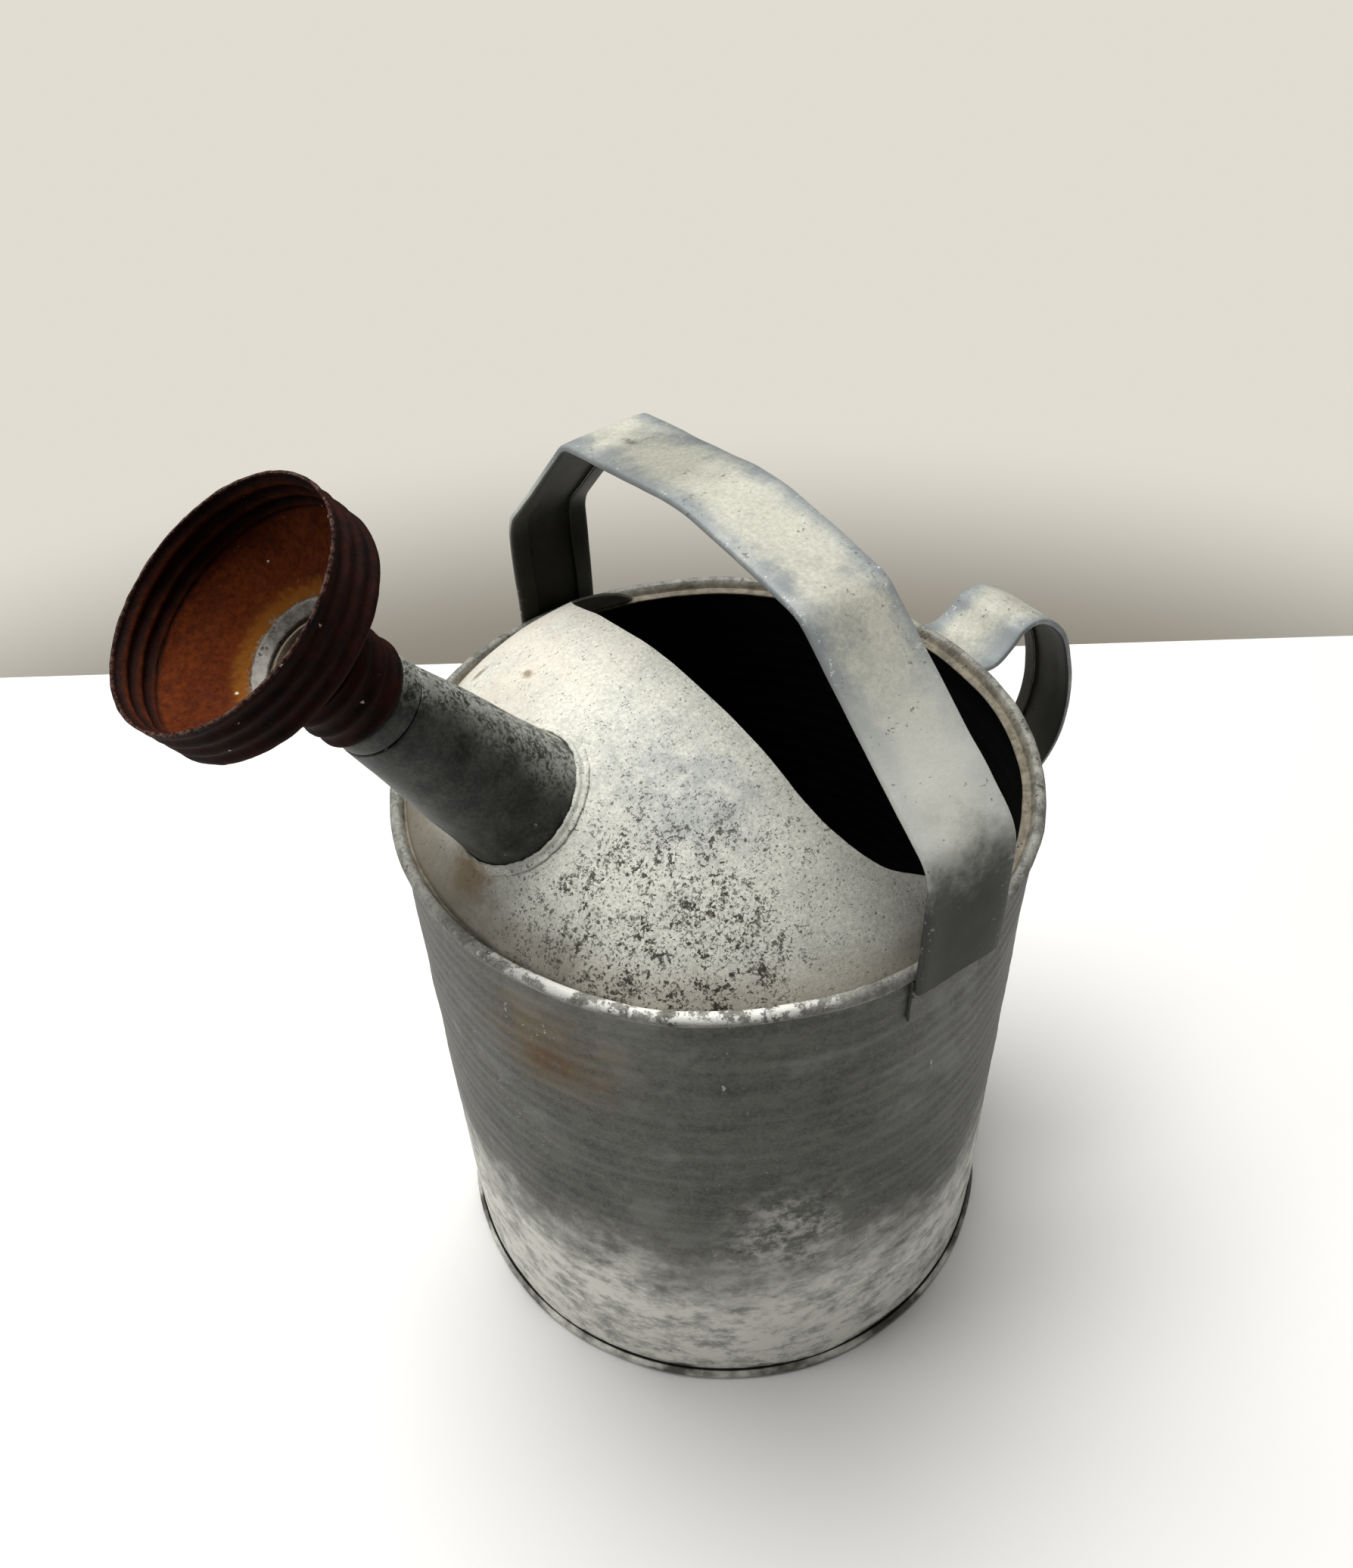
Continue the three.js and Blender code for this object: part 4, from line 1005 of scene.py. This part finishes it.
def neck():
    """The rose's neck, rolled into the thread, its flat shoulder and the pipe through the cup."""
    bore = NECK_RADIUS - THREAD_DEPTH - 1
    rows = 64
    low = NECK_START + 0.3
    heights = [low + (SHOULDER_PLACE - low) * i / rows for i in range(rows + 1)]
    outside = [(bore + 1, z) for z in heights]
    inside = [(bore, z) for z in reversed(heights)]
    pipe = [(bore + 1.8, SHOULDER_PLACE + 0.5), (bore + 1.3, SHOULDER_PLACE + 1),
            (PIPE_RADIUS + 0.1, SHOULDER_PLACE + 1), (PIPE_RADIUS, SHOULDER_PLACE + 1.2),
            (PIPE_RADIUS, NECK_END - 0.3), (PIPE_RADIUS - 0.3, NECK_END),
            (PIPE_RADIUS - 0.7, NECK_END - 0.1), (PIPE_RADIUS - 0.9, NECK_END - 0.5),
            (PIPE_RADIUS - 0.9, SHOULDER_PLACE)]
    piece = turned("neck", outside + pipe + inside, 110)

    def share_at(radius, height, thread):
        if radius < bore - 0.1 or height > SHOULDER_PLACE + 0.01:
            return 0
        return thread if radius < bore + 0.5 else 0.15 + 0.85 * thread
    threaded(piece, share_at, THREAD_DEPTH)
    lumpy(leant(piece, ROSE_SLANT), 3, 0.25)
    fitted(piece, "rose", "rusty_steel", ROSE_RUST, "rose_neck")


def cup():
    """The rose's cup: sides rolled into rings like a jar's lid, a rough open lip, and a funnel
    for a floor, folded over the sides' lower edge."""
    rows = 18 * CUP_RINGS
    low, high = CUP_BACK + 2.2, CUP_LIP - 1.2
    side = []
    for row in range(rows + 1):
        z = low + (high - low) * row / rows
        wave = 0.5 - 0.5 * math.cos(FULL_TURN * CUP_RINGS * row / rows)
        side.append((CUP_RADIUS - 0.2 - RING_DEPTH * wave, z))
    edge = CUP_RADIUS - 0.6
    hole = PIPE_RADIUS + 0.25
    bottom_edge = Vector((CUP_RADIUS - 4.2, CUP_BACK + 0.2))
    top_edge = Vector((FUNNEL_RADIUS - 0.7, FUNNEL_TOP - 0.5))
    below = [Vector((hole, CUP_START)).lerp(bottom_edge, i / 20) for i in range(21)]
    above = [Vector((hole, CUP_START + 1.2)).lerp(top_edge, i / 20) for i in range(21)]
    outline = [tuple(point) for point in below]
    outline += arc((CUP_RADIUS - 2.1, CUP_BACK + 2.1), (1.9, 1.9), -95, -5, 7) + side
    outline += [(edge + 0.35, CUP_LIP - 0.5), (edge + 0.2, CUP_LIP), (edge - 0.5, CUP_LIP),
                (edge - 0.6, CUP_LIP - 0.6)]
    outline += [(radius - 0.9, z) for radius, z in reversed(side) if z > FUNNEL_TOP + 1]
    outline += [(FUNNEL_RADIUS, FUNNEL_TOP + 0.5), (FUNNEL_RADIUS - 0.2, FUNNEL_TOP)]
    outline += [tuple(point) for point in reversed(above)]
    piece = leant(turned("cup", outline, 180), ROSE_SLANT)
    lumpy(piece, 3, 0.3)
    lumpy(piece, 11, 0.4)
    fitted(piece, "rose", "rusty_steel", ROSE_RUST, "rose_cup")


# ---- assembly ----

wall_sheet()
bottom()
domed_cover()
rim_seam()
top_strap()
rear_strap()
strap_foot(1)
strap_foot(-1)
bead("solder_near", "solder_handle_near", BRIGHT_SOLDER)
bead("solder_far", "solder_handle_far", SOLDER)
bead("solder_upper", "solder_rear_upper", SOLDER)
bead("solder_lower", "solder_rear_lower", SOLDER)
bead("solder_spout", "solder_spout_foot", DECK_ZINC)
spout_sleeve()
ferrule()
washer()
neck()
cup()
bead("solder_ring", "rose_solder_ring", LIMED_SOLDER, body="rose", voxel=0.3, lumps=0.4)


# ---- floor, light and camera ----

TABLE_BACK = -0.346               # the table's back edge, from the can's axis, away from the camera
TOWARDS = Vector((0.573, 0.820, 0))   # square to that edge, towards the camera
SIDEWAYS = Vector((-0.820, 0.573, 0))


def table():
    """The pale table top."""
    bpy.ops.object.select_all(action="DESELECT")
    bpy.ops.mesh.primitive_plane_add(size=1)
    floor = bpy.context.object
    floor.name = "table"
    corners = [SIDEWAYS * across + TOWARDS * (TABLE_BACK + depth)
               for across, depth in ((-3, 0), (3, 0), (-3, 4), (3, 4))]
    for corner, place in zip(floor.data.vertices, corners):
        corner.co = place
    f = Finish("table_top")
    soft = f.noise(240, 3)
    colour = f.mix(soft, (0.82, 0.82, 0.825, 1), (0.86, 0.86, 0.865, 1))
    floor.data.materials.append(f.done(colour, 0.6, soft, depth=0.0))


ROOM_LIGHT = (0.15, 0.148, 0.14, 1)
WALL_NEAR_TABLE = (0.27, 0.245, 0.2, 1)
WALL_ABOVE = (0.75, 0.72, 0.645, 1)
WALL_FADE = (-0.605, -0.475)      # the wall lightens between these heights of a line of sight
LAMPS = (                         # name, place in metres, size, power and colour
    ("overhead", (-0.03, -0.47, 1.8), 1.5, 47, (1, 0.985, 0.955)),
    ("left", (1.3, -0.5, 0.9), 0.8, 6, (1, 0.99, 0.97)),
)
CAMERA_PLACE = (0.2043, 0.2847, 0.5371)
CAMERA_TILT = 42.77               # degrees below the level
CAMERA_HEADING = 146.5            # degrees from looking along +Y
CAMERA_ROLL = -2.675
CAMERA_LENS = 32.45


def room():
    """A dim room round the can, in which the camera sees a pale wall behind it."""
    world = bpy.data.worlds.new("room")
    bpy.context.scene.world = world
    world.use_nodes = True
    nodes, join = world.node_tree.nodes, world.node_tree.links.new
    light = nodes["Background"]
    light.inputs["Color"].default_value = ROOM_LIGHT
    sight = nodes.new("ShaderNodeSeparateXYZ")
    join(nodes.new("ShaderNodeTexCoord").outputs["Generated"], sight.inputs[0])
    height = nodes.new("ShaderNodeMapRange")
    height.interpolation_type = "SMOOTHSTEP"
    height.inputs[1].default_value, height.inputs[2].default_value = WALL_FADE
    join(sight.outputs["Z"], height.inputs[0])
    shade = nodes.new("ShaderNodeMix")
    shade.data_type = "RGBA"
    shade.inputs[6].default_value = WALL_NEAR_TABLE
    shade.inputs[7].default_value = WALL_ABOVE
    join(height.outputs[0], shade.inputs[0])
    wall = nodes.new("ShaderNodeBackground")
    join(shade.outputs[2], wall.inputs["Color"])
    either = nodes.new("ShaderNodeMixShader")
    join(nodes.new("ShaderNodeLightPath").outputs["Is Camera Ray"], either.inputs[0])
    join(light.outputs[0], either.inputs[1])
    join(wall.outputs[0], either.inputs[2])
    join(either.outputs[0], nodes["World Output"].inputs[0])


def lamp(name, place, size, power, colour):
    """A round soft lamp that shines at the can's foot."""
    data = bpy.data.lights.new(name, "AREA")
    data.shape = "DISK"
    data.size = size
    data.energy = power
    data.color = colour
    light = bpy.data.objects.new(name, data)
    bpy.context.scene.collection.objects.link(light)
    light.location = place
    light.rotation_euler = (-Vector(place)).to_track_quat("-Z", "Y").to_euler()


def camera():
    """Looks down on the can from its near side, past the spout."""
    data = bpy.data.cameras.new("camera")
    data.lens = CAMERA_LENS
    view = bpy.data.objects.new("camera", data)
    bpy.context.scene.collection.objects.link(view)
    tilt, heading, roll = map(math.radians, (CAMERA_TILT, CAMERA_HEADING, CAMERA_ROLL))
    ahead = Vector((-math.sin(heading), math.cos(heading), 0))
    forwards = math.cos(tilt) * ahead + Vector((0, 0, -math.sin(tilt)))
    level = Vector((math.cos(heading), math.sin(heading), 0))
    lifted = level.cross(forwards)
    right = math.cos(roll) * level + math.sin(roll) * lifted
    up = -math.sin(roll) * level + math.cos(roll) * lifted
    view.matrix_world = Matrix.Translation(CAMERA_PLACE) @ Matrix(
        (right, up, -forwards)).transposed().to_4x4()
    bpy.context.scene.camera = view
    bpy.context.scene.view_settings.view_transform = "Standard"


table()
room()
for each in LAMPS:
    lamp(*each)
camera()
